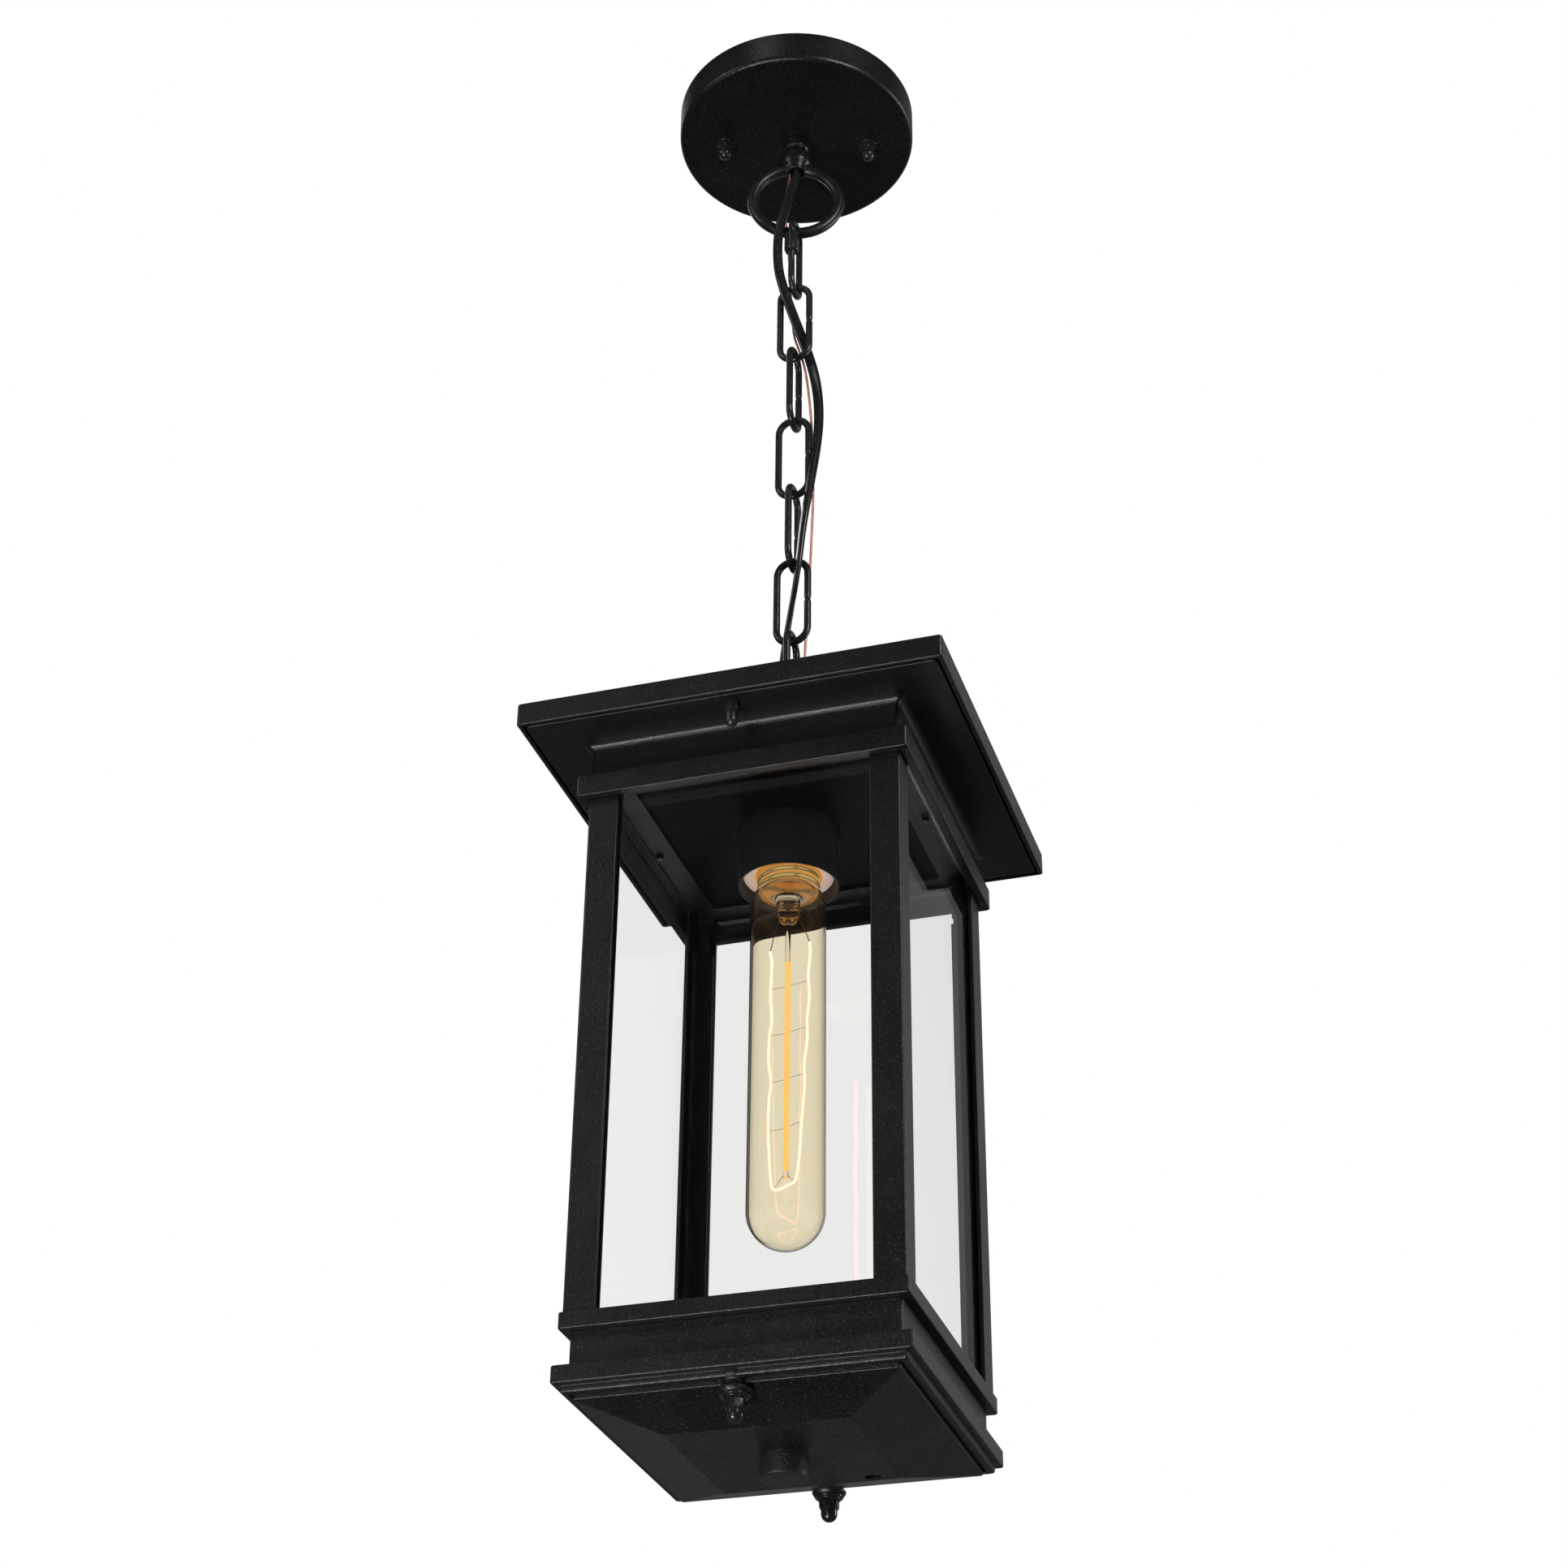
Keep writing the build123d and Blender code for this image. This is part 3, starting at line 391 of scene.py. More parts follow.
class Tree:
    """A small builder for node trees."""

    def __init__(self, tree):
        self.tree = tree
        self.link = tree.links.new

    def add(self, kind):
        return self.tree.nodes.new("ShaderNode" + kind)

    def ramp(self, value, stops):
        node = self.add("ValToRGB")
        ramp = node.color_ramp
        while len(ramp.elements) < len(stops):
            ramp.elements.new(0.5)
        for element, (position, colour) in zip(ramp.elements, stops):
            element.position = position
            element.color = (*colour, 1.0)
        self.link(value, node.inputs["Fac"])
        return node.outputs["Color"]

    def remap(self, value, low, high, out_low, out_high):
        node = self.add("MapRange")
        keys = ("From Min", "From Max", "To Min", "To Max")
        for key, number in zip(keys, (low, high, out_low, out_high)):
            node.inputs[key].default_value = number
        self.link(value, node.inputs["Value"])
        return node.outputs["Result"]

    def math(self, operation, a, b):
        node = self.add("Math")
        node.operation = operation
        for socket, source in zip(node.inputs, (a, b)):
            if isinstance(source, (int, float)):
                socket.default_value = source
            else:
                self.link(source, socket)
        return node.outputs["Value"]


class Nodes(Tree):
    """Builds a material's nodes in object coordinates."""

    def __init__(self, name):
        self.material = bpy.data.materials.new(name)
        self.material.use_nodes = True
        super().__init__(self.material.node_tree)
        self.shader = self.tree.nodes["Principled BSDF"]
        self.coords = self.add("TexCoord").outputs["Object"]

    def noise(self, scale, detail=3.0, roughness=0.5):
        node = self.add("TexNoise")
        node.inputs["Scale"].default_value = scale
        node.inputs["Detail"].default_value = detail
        node.inputs["Roughness"].default_value = roughness
        self.link(self.coords, node.inputs["Vector"])
        return node.outputs["Fac"]

    def mix(self, factor, a, b):
        node = self.add("Mix")
        node.data_type = "RGBA"
        self.link(factor, node.inputs["Factor"])
        for source, key in ((a, "A"), (b, "B")):
            socket = [s for s in node.inputs if s.name == key and s.type == "RGBA"][0]
            if isinstance(source, tuple):
                socket.default_value = (*source, 1.0)
            else:
                self.link(source, socket)
        return [s for s in node.outputs if s.type == "RGBA"][0]

    def edge(self, radius, low, high):
        """1 near sharp edges, within the radius, and 0 on flats."""
        bevel = self.add("Bevel")
        bevel.inputs["Radius"].default_value = radius * MM
        geometry = self.add("NewGeometry")
        dot = self.add("VectorMath")
        dot.operation = "DOT_PRODUCT"
        self.link(bevel.outputs["Normal"], dot.inputs[0])
        self.link(geometry.outputs["Normal"], dot.inputs[1])
        return self.remap(dot.outputs["Value"], low, high, 1.0, 0.0)

    def bump(self, height, strength, distance):
        node = self.add("Bump")
        node.inputs["Strength"].default_value = strength
        node.inputs["Distance"].default_value = distance * MM
        self.link(height, node.inputs["Height"])
        self.link(node.outputs["Normal"], self.shader.inputs["Normal"])

    def set(self, **values):
        for key, value in values.items():
            socket = self.shader.inputs[key.replace("_", " ")]
            if isinstance(value, tuple):
                socket.default_value = (*value, 1.0)
            elif isinstance(value, (int, float)):
                socket.default_value = value
            else:
                self.link(value, socket)


def powder_coat(name, grain, base, rough, bump, wear_and_highlight, glint_specks=0.5, ior=1.5):
    """Black textured powder coat: fine orange-peel grain, dull patches, light specks painted in as glints,
    and edges painted lighter, partly as rubbed wear and partly as a painted highlight.
    """
    n = Nodes(name)
    fine = n.noise(1.0 / (grain * MM), 2.0, 0.6)
    broad = n.noise(28.0, 4.0, 0.55)
    scuffs = n.noise(160.0, 5.0, 0.7)
    dark = tuple(c * 0.7 for c in base)
    light = tuple(c * 1.5 for c in base)
    colour = n.ramp(broad, [(0.3, dark), (0.55, base), (0.8, light)])
    # painted glints: light specks in the colour that stand in for sparkle on the grain
    glint_speck_mask = n.remap(n.noise(1500.0, 2.0, 0.6), 0.6, 0.72, 0.0, glint_specks)
    colour = n.mix(glint_speck_mask, colour, (0.05, 0.05, 0.052))
    # edges painted lighter and broken up by scuffs: partly rubbed wear, partly a painted edge highlight
    rubbed_and_highlit_edge = n.math("MULTIPLY", n.edge(0.5, 0.72, 0.97), n.remap(scuffs, 0.42, 0.68, 0.0, 1.0))
    colour = n.mix(n.math("MULTIPLY", rubbed_and_highlit_edge, wear_and_highlight), colour, (0.16, 0.16, 0.165))
    patches = n.remap(broad, 0.3, 0.7, rough - 0.05, rough + 0.06)
    grainy = n.remap(fine, 0.3, 0.7, -0.04, 0.05)
    n.set(Base_Color=colour, IOR=ior, Roughness=n.math("ADD", patches, grainy))
    n.bump(n.math("ADD", fine, n.math("MULTIPLY", scuffs, 0.25)), bump, 0.2)
    return n.material


def smooth_black(name, rough, grain, bump):
    """Dipped or sprayed black paint on wire: glossier, with faint runs."""
    n = Nodes(name)
    fine = n.noise(1.0 / (grain * MM), 3.0, 0.5)
    broad = n.noise(60.0, 3.0, 0.5)
    n.set(Base_Color=n.ramp(broad, [(0.3, (0.007, 0.007, 0.008)), (0.7, (0.015, 0.015, 0.016))]), IOR=1.5)
    n.set(Roughness=n.remap(fine, 0.3, 0.7, rough - 0.05, rough + 0.09))
    n.bump(fine, bump, 0.15)
    return n.material


def rubber_black(name):
    """The cord's glossy black sleeve."""
    n = Nodes(name)
    fine = n.noise(700.0, 2.0, 0.5)
    n.set(Base_Color=n.ramp(fine, [(0.3, (0.006, 0.006, 0.007)), (0.7, (0.012, 0.012, 0.013))]), IOR=1.5)
    n.set(Roughness=n.remap(fine, 0.3, 0.7, 0.14, 0.22))
    n.bump(n.noise(160.0, 1.0), 0.05, 0.1)
    return n.material


def metal(name, low, high, rough, scale=300.0, bump=0.08, lit=0.0):
    """Bare metal between two tints. lit is a painted glow: a warm emission that stands in for the lamp's
    light on the metal.
    """
    n = Nodes(name)
    fine = n.noise(scale, 4.0, 0.6)
    broad = n.noise(40.0, 3.0, 0.5)
    n.set(Base_Color=n.mix(broad, low, high), Metallic=1.0)
    # painted light: a warm emission for the lamp's light, set by lit
    n.set(Emission_Color=(1.0, 0.68, 0.24), Emission_Strength=lit)
    n.set(Roughness=n.remap(fine, 0.3, 0.7, rough - 0.07, rough + 0.1))
    n.bump(fine, bump, 0.05)
    return n.material


def ceramic(name):
    """Glazed porcelain, with a painted glow: a faint warm emission that stands in for the lamp's light on
    it.
    """
    n = Nodes(name)
    broad = n.noise(90.0, 3.0, 0.5)
    n.set(Base_Color=n.ramp(broad, [(0.3, (0.72, 0.6, 0.54)), (0.7, (0.86, 0.76, 0.7))]), IOR=1.5)
    n.set(Roughness=n.remap(broad, 0.3, 0.7, 0.18, 0.3))
    # painted light: warm emission standing in for lamp light on the porcelain
    n.set(Emission_Color=(1.0, 0.72, 0.58), Emission_Strength=0.3)
    n.bump(n.noise(600.0), 0.04, 0.1)
    return n.material


def clear_glass(name, tint, rough, dust, ior, painted_glow=0.0):
    """Clear glass with a trace of dust in its roughness. painted_glow is a faint warm emission, painted
    light that stands in for the lamp's light in the glass.
    """
    n = Nodes(name)
    film = n.noise(35.0, 5.0, 0.6)
    n.set(Base_Color=tint, IOR=ior, Transmission_Weight=1.0)
    n.set(Emission_Color=(1.0, 0.5, 0.17), Emission_Strength=painted_glow)
    n.set(Roughness=n.remap(film, 0.45, 0.8, rough, rough + dust))
    return n.material


def glowing(name, colour, strength):
    """Glowing wire, a little uneven along its length: the hot filament, and a painted glow inside the glass
    centre rod.
    """
    n = Nodes(name)
    ripple = n.noise(260.0, 2.0, 0.5)
    n.set(Base_Color=(0.9, 0.6, 0.3), Emission_Strength=strength)
    hot = tuple(min(1.0, c * 1.12) for c in colour)
    n.set(Emission_Color=n.ramp(ripple, [(0.3, colour), (0.7, hot)]), Roughness=0.5)
    return n.material


M = {
    "roof": powder_coat("black_powder_roof", 1.0, (0.0026, 0.0028, 0.0032), 0.38, 0.7, 0.8),
    "cage": powder_coat("black_powder_cage", 0.9, (0.0028, 0.003, 0.0034), 0.4, 0.7, 0.8),
    "ceiling": powder_coat("black_powder_ceiling", 1.0, (0.0026, 0.0028, 0.0032), 0.4, 0.4, 0.0, 0.4, 1.13),
    # painted light: a much lighter copy of the black powder coat for the cup and bracket inside the
    # lantern, standing in for the light that reaches them
    "inside": powder_coat("black_powder_painted_lit_inside", 1.0, (0.02, 0.02, 0.0205), 0.45, 0.6, 0.5),
    "base": powder_coat("black_powder_base", 1.1, (0.0028, 0.003, 0.0035), 0.42, 0.9, 0.9, 0.8),
    # the knob's edges are painted lighter at full strength, partly as a painted rim highlight
    "knob": powder_coat("black_rough_knob", 1.4, (0.008, 0.008, 0.0085), 0.48, 1.0, 1.0, 1.2),
    "canopy": powder_coat("black_powder_canopy", 1.0, (0.0026, 0.0029, 0.0034), 0.36, 0.75, 0.9),
    "casting": powder_coat("black_casting", 0.8, (0.006, 0.006, 0.0065), 0.33, 0.05, 0.25),
    "nuts": powder_coat("black_nuts", 0.8, (0.01, 0.01, 0.011), 0.24, 0.02, 0.2),
    "dull_zinc": metal("dull_zinc", (0.05, 0.05, 0.052), (0.09, 0.09, 0.092), 0.45),
    "chain": smooth_black("black_chain", 0.2, 1.4, 0.04),
    "cord": rubber_black("black_cord"),
    "zinc": metal("zinc_plate", (0.3, 0.305, 0.31), (0.42, 0.42, 0.415), 0.42),
    # the brass takes a painted glow for the lamp's light on it
    "brass": metal("lamp_brass", (0.86, 0.52, 0.13), (0.98, 0.7, 0.26), 0.24, bump=0.03, lit=0.12),
    "copper": metal("bare_copper", (0.78, 0.3, 0.2), (0.92, 0.45, 0.33), 0.32, 900.0),
    "steel": metal("support_wire", (0.42, 0.4, 0.38), (0.6, 0.58, 0.55), 0.35),
    "green": metal("green_screw", (0.05, 0.28, 0.1), (0.09, 0.4, 0.16), 0.35),
    "ceramic": ceramic("socket_ceramic"),
    "pane": clear_glass("pane_glass", (0.985, 0.985, 0.98), 0.0, 0.02, 1.5),
    "side_pane": clear_glass("side_pane_glass", (0.995, 1.0, 0.995), 0.0, 0.02, 1.1),
    # the bulb glass takes a faint painted glow
    "bulb": clear_glass("bulb_glass", (1.0, 0.95, 0.8), 0.0, 0.02, 1.36, 0.002),
    "stem": clear_glass("stem_glass", (0.99, 0.97, 0.92), 0.0, 0.03, 1.45),
    "filament": glowing("filament_glow", (1.0, 0.24, 0.15), 6.5),
    # painted light: the glass centre rod glows, standing in for lamp light caught in it
    "rod": glowing("rod_painted_glow", (1.0, 0.5, 0.14), 1.1),
}


def paint(obj, key):
    """Gives every material slot of an object one material."""
    if obj.data.materials:
        for i in range(len(obj.data.materials)):
            obj.data.materials[i] = M[key]
    else:
        obj.data.materials.append(M[key])
    return obj


def place(obj, key, body, *nodes, slot):
    """Paints a piece, puts it on its body and hides the CAD nodes that it stands for."""
    paint(obj, key)
    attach(obj, body)
    if nodes:
        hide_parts(*nodes)


# ---- cords ----

# the way each goes from the canopy's hub down through the chain to the hub on the roof
CORD_ROUTE = [
    (1.0, 0.3, -27.0), (0.7, 0.1, -38.5), (-0.4, -3.3, -47.0), (-2.1, -5.5, -58.0),
    (-4.2, -7.0, -69.0), (-6.2, -7.8, -80.0), (-6.7, -7.3, -92.0), (-6.4, -6.2, -103.0),
    (-4.5, -4.5, -113.0), (-1.7, -1.5, -124.0), (1.7, 1.9, -136.0), (5.4, 4.5, -149.0),
    (8.6, 4.8, -163.0), (10.7, 3.4, -178.0), (11.7, 1.3, -193.0), (11.5, -1.1, -208.0),
    (10.5, -3.1, -222.0), (9.1, -4.6, -236.0), (7.4, -5.5, -249.0), (5.9, -5.6, -262.0),
    (4.6, -4.6, -273.0), (2.2, -2.2, -285.0), (-0.7, 1.0, -296.0), (-3.6, 3.8, -308.0),
    (-5.8, 5.4, -320.0), (-6.6, 6.0, -334.0), (-6.0, 5.6, -347.0), (-3.6, 4.0, -358.0),
    (0.0, 1.4, -366.0), (-0.9, 0.0, -374.0), (-0.9, 0.1, -382.0),
]
GROUND_ROUTE = [
    (-2.6, -0.8, -27.0), (-2.5, -0.7, -38.5), (-5.0, 0.2, -48.0), (-5.6, 1.0, -60.0),
    (-4.9, 2.4, -75.0), (-3.9, 3.1, -92.0), (-3.3, 3.3, -110.0), (-2.3, 3.4, -127.0),
    (-1.3, 3.7, -138.0), (1.4, 3.1, -147.0), (3.6, 3.0, -155.0), (5.1, 2.9, -164.0),
    (6.3, 2.8, -175.0), (7.2, 2.8, -186.0), (7.9, 2.7, -197.0), (8.4, 2.9, -208.0),
    (8.6, 3.0, -220.0), (8.5, 3.2, -232.0), (8.3, 3.1, -244.0), (7.8, 3.3, -256.0),
    (7.3, 3.4, -270.0), (6.7, 3.5, -284.0), (6.0, 3.7, -298.0), (5.3, 3.6, -311.0),
    (4.7, 3.8, -324.0), (4.2, 3.9, -337.0), (3.8, 3.4, -349.0), (3.3, 1.5, -359.0),
    (2.7, -0.5, -367.0), (2.7, -0.3, -374.0), (2.6, 0.1, -382.0),
]
HINGES_Z = [RING_LOW_Z, QUICK_LOW_Z, *(top - LINK_SPAN for top in LINK_TOPS)]


def route_points(name, route):
    """Points read from one smooth NURBS curve with the route's points as its control points."""
    curve = bpy.data.curves.new(name, "CURVE")
    curve.dimensions = "3D"
    curve.resolution_u = 14
    spline = curve.splines.new("NURBS")
    spline.points.add(len(route) - 1)
    for point, place_mm in zip(spline.points, route):
        point.co = (*(c * MM for c in place_mm), 1.0)
    spline.order_u = 3
    spline.use_endpoint_u = True
    obj = bpy.data.objects.new(name, curve)
    bpy.context.scene.collection.objects.link(obj)
    mesh = bpy.data.meshes.new_from_object(obj)
    points = [v.co.copy() / MM for v in mesh.vertices]
    bpy.data.objects.remove(obj)
    bpy.data.curves.remove(curve)
    bpy.data.meshes.remove(mesh)
    return points


def cord_sections(points):
    """The stretches of a path between the middles of neighbouring links, sharing their end points."""
    cuts = [0]
    for upper, lower in zip(HINGES_Z, HINGES_Z[1:]):
        level = (upper + lower) / 2
        cuts.append(min(range(len(points)), key=lambda i: abs(points[i].z - level)))
    cuts.append(len(points) - 1)
    return list(zip(cuts, cuts[1:]))


def twin_outline(twist):
    """Two round cores side by side with a web between them, 4.8 by 2.6 mm."""
    outline = []
    for k in range(32):
        angle = 2 * pi * k / 32
        lobe = 1.12 if cos(angle) >= 0 else -1.12
        a, b = lobe + 1.28 * cos(angle), 1.28 * sin(angle)
        if abs(a) < 1.1:
            b *= 0.62 + 0.38 * abs(a) / 1.1
        outline.append((a * cos(twist) - b * sin(twist), a * sin(twist) + b * cos(twist)))
    return outline


def strand_outline(twist):
    """Six fine strands laid round each other, 1.2 mm over all."""
    outline = []
    for k in range(42):
        angle = 2 * pi * k / 42
        radius = 0.53 + 0.07 * cos(6 * angle)
        outline.append((radius * cos(angle + twist), radius * sin(angle + twist)))
    return outline


def make_cord(name, route, section, key):
    """A cord in one piece per joint. section(distance) gives its outline."""
    points = route_points(name, route)
    axes = frames_along(points)
    reach = [0.0]
    for a, b in zip(points, points[1:]):
        reach.append(reach[-1] + (b - a).length)
    for number, (first, last) in enumerate(cord_sections(points), 1):
        stretch = points[first : last + 1]
        piece = tube_mesh(
            f"{name}_{number}",
            stretch,
            lambda i, first=first: section(reach[first + i]),
            60.0,
            axes[first : last + 1],
        )
        paint(piece, key)
        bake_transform(piece)
        if number == 1:
            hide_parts(name)


def supply_section(distance):
    return twin_outline(0.2 + 0.009 * distance)


def ground_section(distance):
    return strand_outline(distance * 2 * pi / 9.0)


make_cord("supply_cord", CORD_ROUTE, supply_section, "cord")
make_cord("ground_wire", GROUND_ROUTE, ground_section, "copper")


# ---- ceiling side ----


def turned(obj):
    """Turns a mesh made along X to the strap's direction."""
    obj.data.transform(Matrix.Rotation(CANOPY_TURN, 4, "Z"))
    return obj


def cap_nut(name, flat, hex_height, dome_r, total, top_z, at, neck):
    """A domed nut with chamfered hexagon corners, hanging below top_z, necked above its dome."""
    half = flat / 2
    hex_z = top_z - hex_height
    dome_z = top_z - total + dome_r
    hexagonal = [(top_z, half), (top_z, half * 1.04), (top_z - 0.45, half * 1.2)]
    hexagonal += [(hex_z + 0.6, half * 1.2), (hex_z, half * 1.03)]
    turned_part = [(hex_z - 0.05, dome_r - neck), (hex_z - neck, dome_r - neck), (hex_z - 2 * neck, dome_r)]
    if dome_z < hex_z - 2 * neck - 0.2:
        turned_part.append((dome_z, dome_r))
    for k in range(1, 13):
        angle = pi / 2 * k / 12
        turned_part.append((dome_z - dome_r * sin(angle), dome_r * cos(angle)))
    verts, segments = [], 96
    for z, limit in hexagonal:
        verts += round_ring(z, lambda angle, limit=limit: min(limit, hexagon(angle, half)), segments, at)
    for z, radius in turned_part:
        verts += round_ring(z, lambda angle, radius=radius: radius, segments, at)
    faces = ring_faces(len(hexagonal + turned_part), segments, False) + [tuple(range(segments))]
    return new_object(name, verts, faces, 28.0)


def washer_mesh(name, radius, bore, top_z, thick, at):
    low_z = top_z - thick
    outline = [(bore, top_z, 0), (radius, top_z, 0.2), (radius, low_z, 0.3), (bore, low_z, 0.1)]
    return lathe(name, rounded(outline), at, 64)


def make_canopy():
    inner_r, inner_z = CANOPY_R - SHEET, CANOPY_FACE_Z + SHEET
    outline = rounded(
        [
            (NIPPLE_HOLE_R, CANOPY_FACE_Z, 0.0), (CANOPY_R, CANOPY_FACE_Z, 2.6),
            (CANOPY_R, 0.0, 0.4), (inner_r, 0.0, 0.3), (inner_r, inner_z, 1.4),
            (NIPPLE_HOLE_R, inner_z, 0.0),
        ],
        8,
    )
    pan = flat_shading(lathe("canopy_pan", outline, segments=160))
    place(pan, "canopy", "ceiling", "canopy", slot="black_iron")


def make_canopy_hardware():
    for side, tag in ((-1, "left"), (1, "right")):
        at = (side * STUD_X, 0.0)
        nut_z = CANOPY_FACE_Z - WASHER_THICK
        nut = turned(cap_nut(f"canopy_cap_nut_{tag}", 7.0, 3.0, 3.3, 9.0, nut_z, at, 0.35))
        place(nut, "nuts", "ceiling", "canopy_cap_nuts", slot="black_fasteners")
        ring = turned(washer_mesh(f"canopy_washer_{tag}", 4.5, 2.15, CANOPY_FACE_Z, WASHER_THICK, at))
        place(ring, "nuts", "ceiling", "canopy_washers", slot="black_fasteners")


def ring_of_wire(centre_z, mid_r, wire_r, span):
    """Part of a ring in the XZ plane. span is its two ends, in degrees from the top."""
    start, end = span
    points = []
    for k in range(97):
        angle = radians(start + (end - start) * k / 96)
        points.append(Vector((mid_r * sin(angle), 0.0, centre_z + mid_r * cos(angle))))
    return tube_mesh("ring", points, lambda i: circle(wire_r, 28))


def make_hang_loop():
    hub = rounded(
        [
            (CORD_HOLE_R, -36.5, 0.3), (4.9, -36.5, 0.5), (5.0, -34.6, 0.6), (6.9, -30.9, 2.6),
            (6.9, -27.0, 2.6), (5.2, -23.4, 0.4), (5.2, -22.5, 0.4), (6.1, -21.6, 0.6),
            (6.2, CANOPY_FACE_Z, 0.2), (4.75, CANOPY_FACE_Z, 0.0), (4.75, -25.5, 0.0),
            (CORD_HOLE_R, -25.6, 0.0),
        ],
        6,
    )
    ring = ring_of_wire(RING_CENTRE_Z, RING_MID_R, RING_WIRE_R, (11.5, 348.5))
    loop = joined("ring_and_hub", [lathe("hub", hub, segments=96), ring])
    cast_together(loop, 0.3, 9)
    place(turned(loop), "casting", "ceiling", "hang_loop", slot="black_iron")


# ---- chain ----


def oval_of_wire(half, top_z, span, gap_z, gap, step=0.6):
    """(a, z) points round an oval of wire, with a small gap at gap_z in the leg at +half."""
    upper, lower = top_z - half, top_z - span + half
    gap_top, gap_low = gap_z + gap / 2, gap_z - gap / 2
    count = max(2, int((gap_low - lower) / step))
    points = [(half, gap_low - (gap_low - lower) * k / count) for k in range(count)]
    points += [(half * cos(a), lower + half * sin(a)) for a in (-pi * k / 24 for k in range(25))]
    count = int((upper - lower) / step)
    points += [(-half, lower + (upper - lower) * k / count) for k in range(1, count)]
    points += [(half * cos(a), upper + half * sin(a)) for a in (pi - pi * k / 24 for k in range(25))]
    count = max(2, int((upper - gap_top) / step))
    return points + [(half, upper - (upper - gap_top) * k / count) for k in range(1, count + 1)]


def make_chain():
    """Links with a butt seam, where the wire is pinched, in turn across X and across Y."""
    for number, top_z in enumerate(LINK_TOPS, 1):
        oval = oval_of_wire(LINK_HALF_WIDTH, top_z, LINK_SPAN, top_z - LINK_SPAN / 2, LINK_SEAM)
        points = [Vector((a, 0, z) if number % 2 else (0, a, z)) for a, z in oval]
        last = len(points) - 1

        def section(i, last=last, number=number):
            pinched = 0.78 + 0.22 * min(1.0, min(i, last - i) / 2.0)
            wave = min(1.0, 1.0 + 0.012 * sin(0.7 * i + number))
            return circle(WIRE_R * pinched * wave, 26)

        link = tube_mesh(f"chain_link_wire_{number}", points, section)
        place(link, "chain", f"link_{number}", f"chain_link_{number}", slot="black_wire")


def make_quick_link():
    """An oval of wire with thread on both sides of its opening, under the sleeve."""
    oval = oval_of_wire(QUICK_HALF_WIDTH, QUICK_TOP_Z, QUICK_SPAN, QUICK_OPENING_Z, QUICK_OPENING, 0.16)
    points = [Vector((0, -a, z)) for a, z in oval]

    def section(i):
        _, y, z = points[i]
        if y < 0.1 - QUICK_HALF_WIDTH and QUICK_THREAD_LOW_Z < z < QUICK_THREAD_TOP_Z:
            return circle(WIRE_R - 0.1 + 0.1 * cos(2 * pi * z / QUICK_THREAD_PITCH), 26)
        return circle(WIRE_R, 26)

    wire = tube_mesh("quick_link_wire", points, section)
    place(wire, "chain", "quick_link", "quick_link", slot="black_wire")


def make_sleeve():
    """A hexagonal nut with chamfered ends on the quick link's threaded leg."""
    segments, at = 96, (0.0, -QUICK_HALF_WIDTH)
    low_z = SLEEVE_TOP_Z - SLEEVE_LENGTH
    wide, end_r, chamfer = 3.5, 2.95, 0.5
    levels = [(low_z, end_r), (low_z + chamfer, wide)]
    levels += [(SLEEVE_TOP_Z - chamfer, wide), (SLEEVE_TOP_Z, end_r)]
    verts = []
    for z, limit in levels:
        verts += round_ring(z, lambda a, limit=limit: min(limit, hexagon(a, SLEEVE_FLAT / 2)), segments, at)
    for z in (SLEEVE_TOP_Z, low_z):
        verts += round_ring(z, lambda a: SLEEVE_BORE_R, segments, at)
    sleeve = new_object("sleeve_nut", verts, ring_faces(6, segments, True), 28.0)
    place(sleeve, "chain", "sleeve", "quick_link_sleeve", slot="black_wire")


make_canopy()
make_canopy_hardware()
make_hang_loop()
make_chain()
make_quick_link()
make_sleeve()


# ---- roof and soffit ----


def make_roof_loop():
    hub = rounded(
        [
            (CORD_HOLE_R, ROOF_TOP_Z, 0.0), (7.3, ROOF_TOP_Z, 0.3), (7.3, -373.6, 1.6),
            (4.6, -369.9, 2.0), (CORD_HOLE_R, -369.9, 0.0),
        ],
        5,
    )
    ring = ring_of_wire(LOOP_CENTRE_Z, LOOP_MID_R, LOOP_WIRE_R, (-156, 156))
    loop = joined("roof_loop_casting", [lathe("hub", hub, segments=80), ring])
    cast_together(loop, 0.28, 4)
    place(loop, "casting", "lantern", "roof_loop", slot="black_iron")


def make_roof():
    inner = ROOF_HALF - ROOF_LIP
    outline = rounded(
        [
            (NIPPLE_HOLE_R, ROOF_TOP_Z, 0.0), (ROOF_TOP_HALF, ROOF_TOP_Z, 3.0),
            (ROOF_HALF, ROOF_EDGE_Z, 1.0), (ROOF_HALF, ROOF_BOTTOM_Z, 0.9),
            (inner, ROOF_BOTTOM_Z, 0.3), (inner, ROOF_EDGE_Z - 1.3, 0.6),
            (ROOF_TOP_HALF, ROOF_TOP_Z - SHEET, 2.0), (NIPPLE_HOLE_R, ROOF_TOP_Z - SHEET, 0.0),
        ],
        5,
    )
    roof = flat_shading(square_sweep("hip_roof", outline, 1.2))
    place(roof, "roof", "lantern", "roof_shell", slot="black_iron")


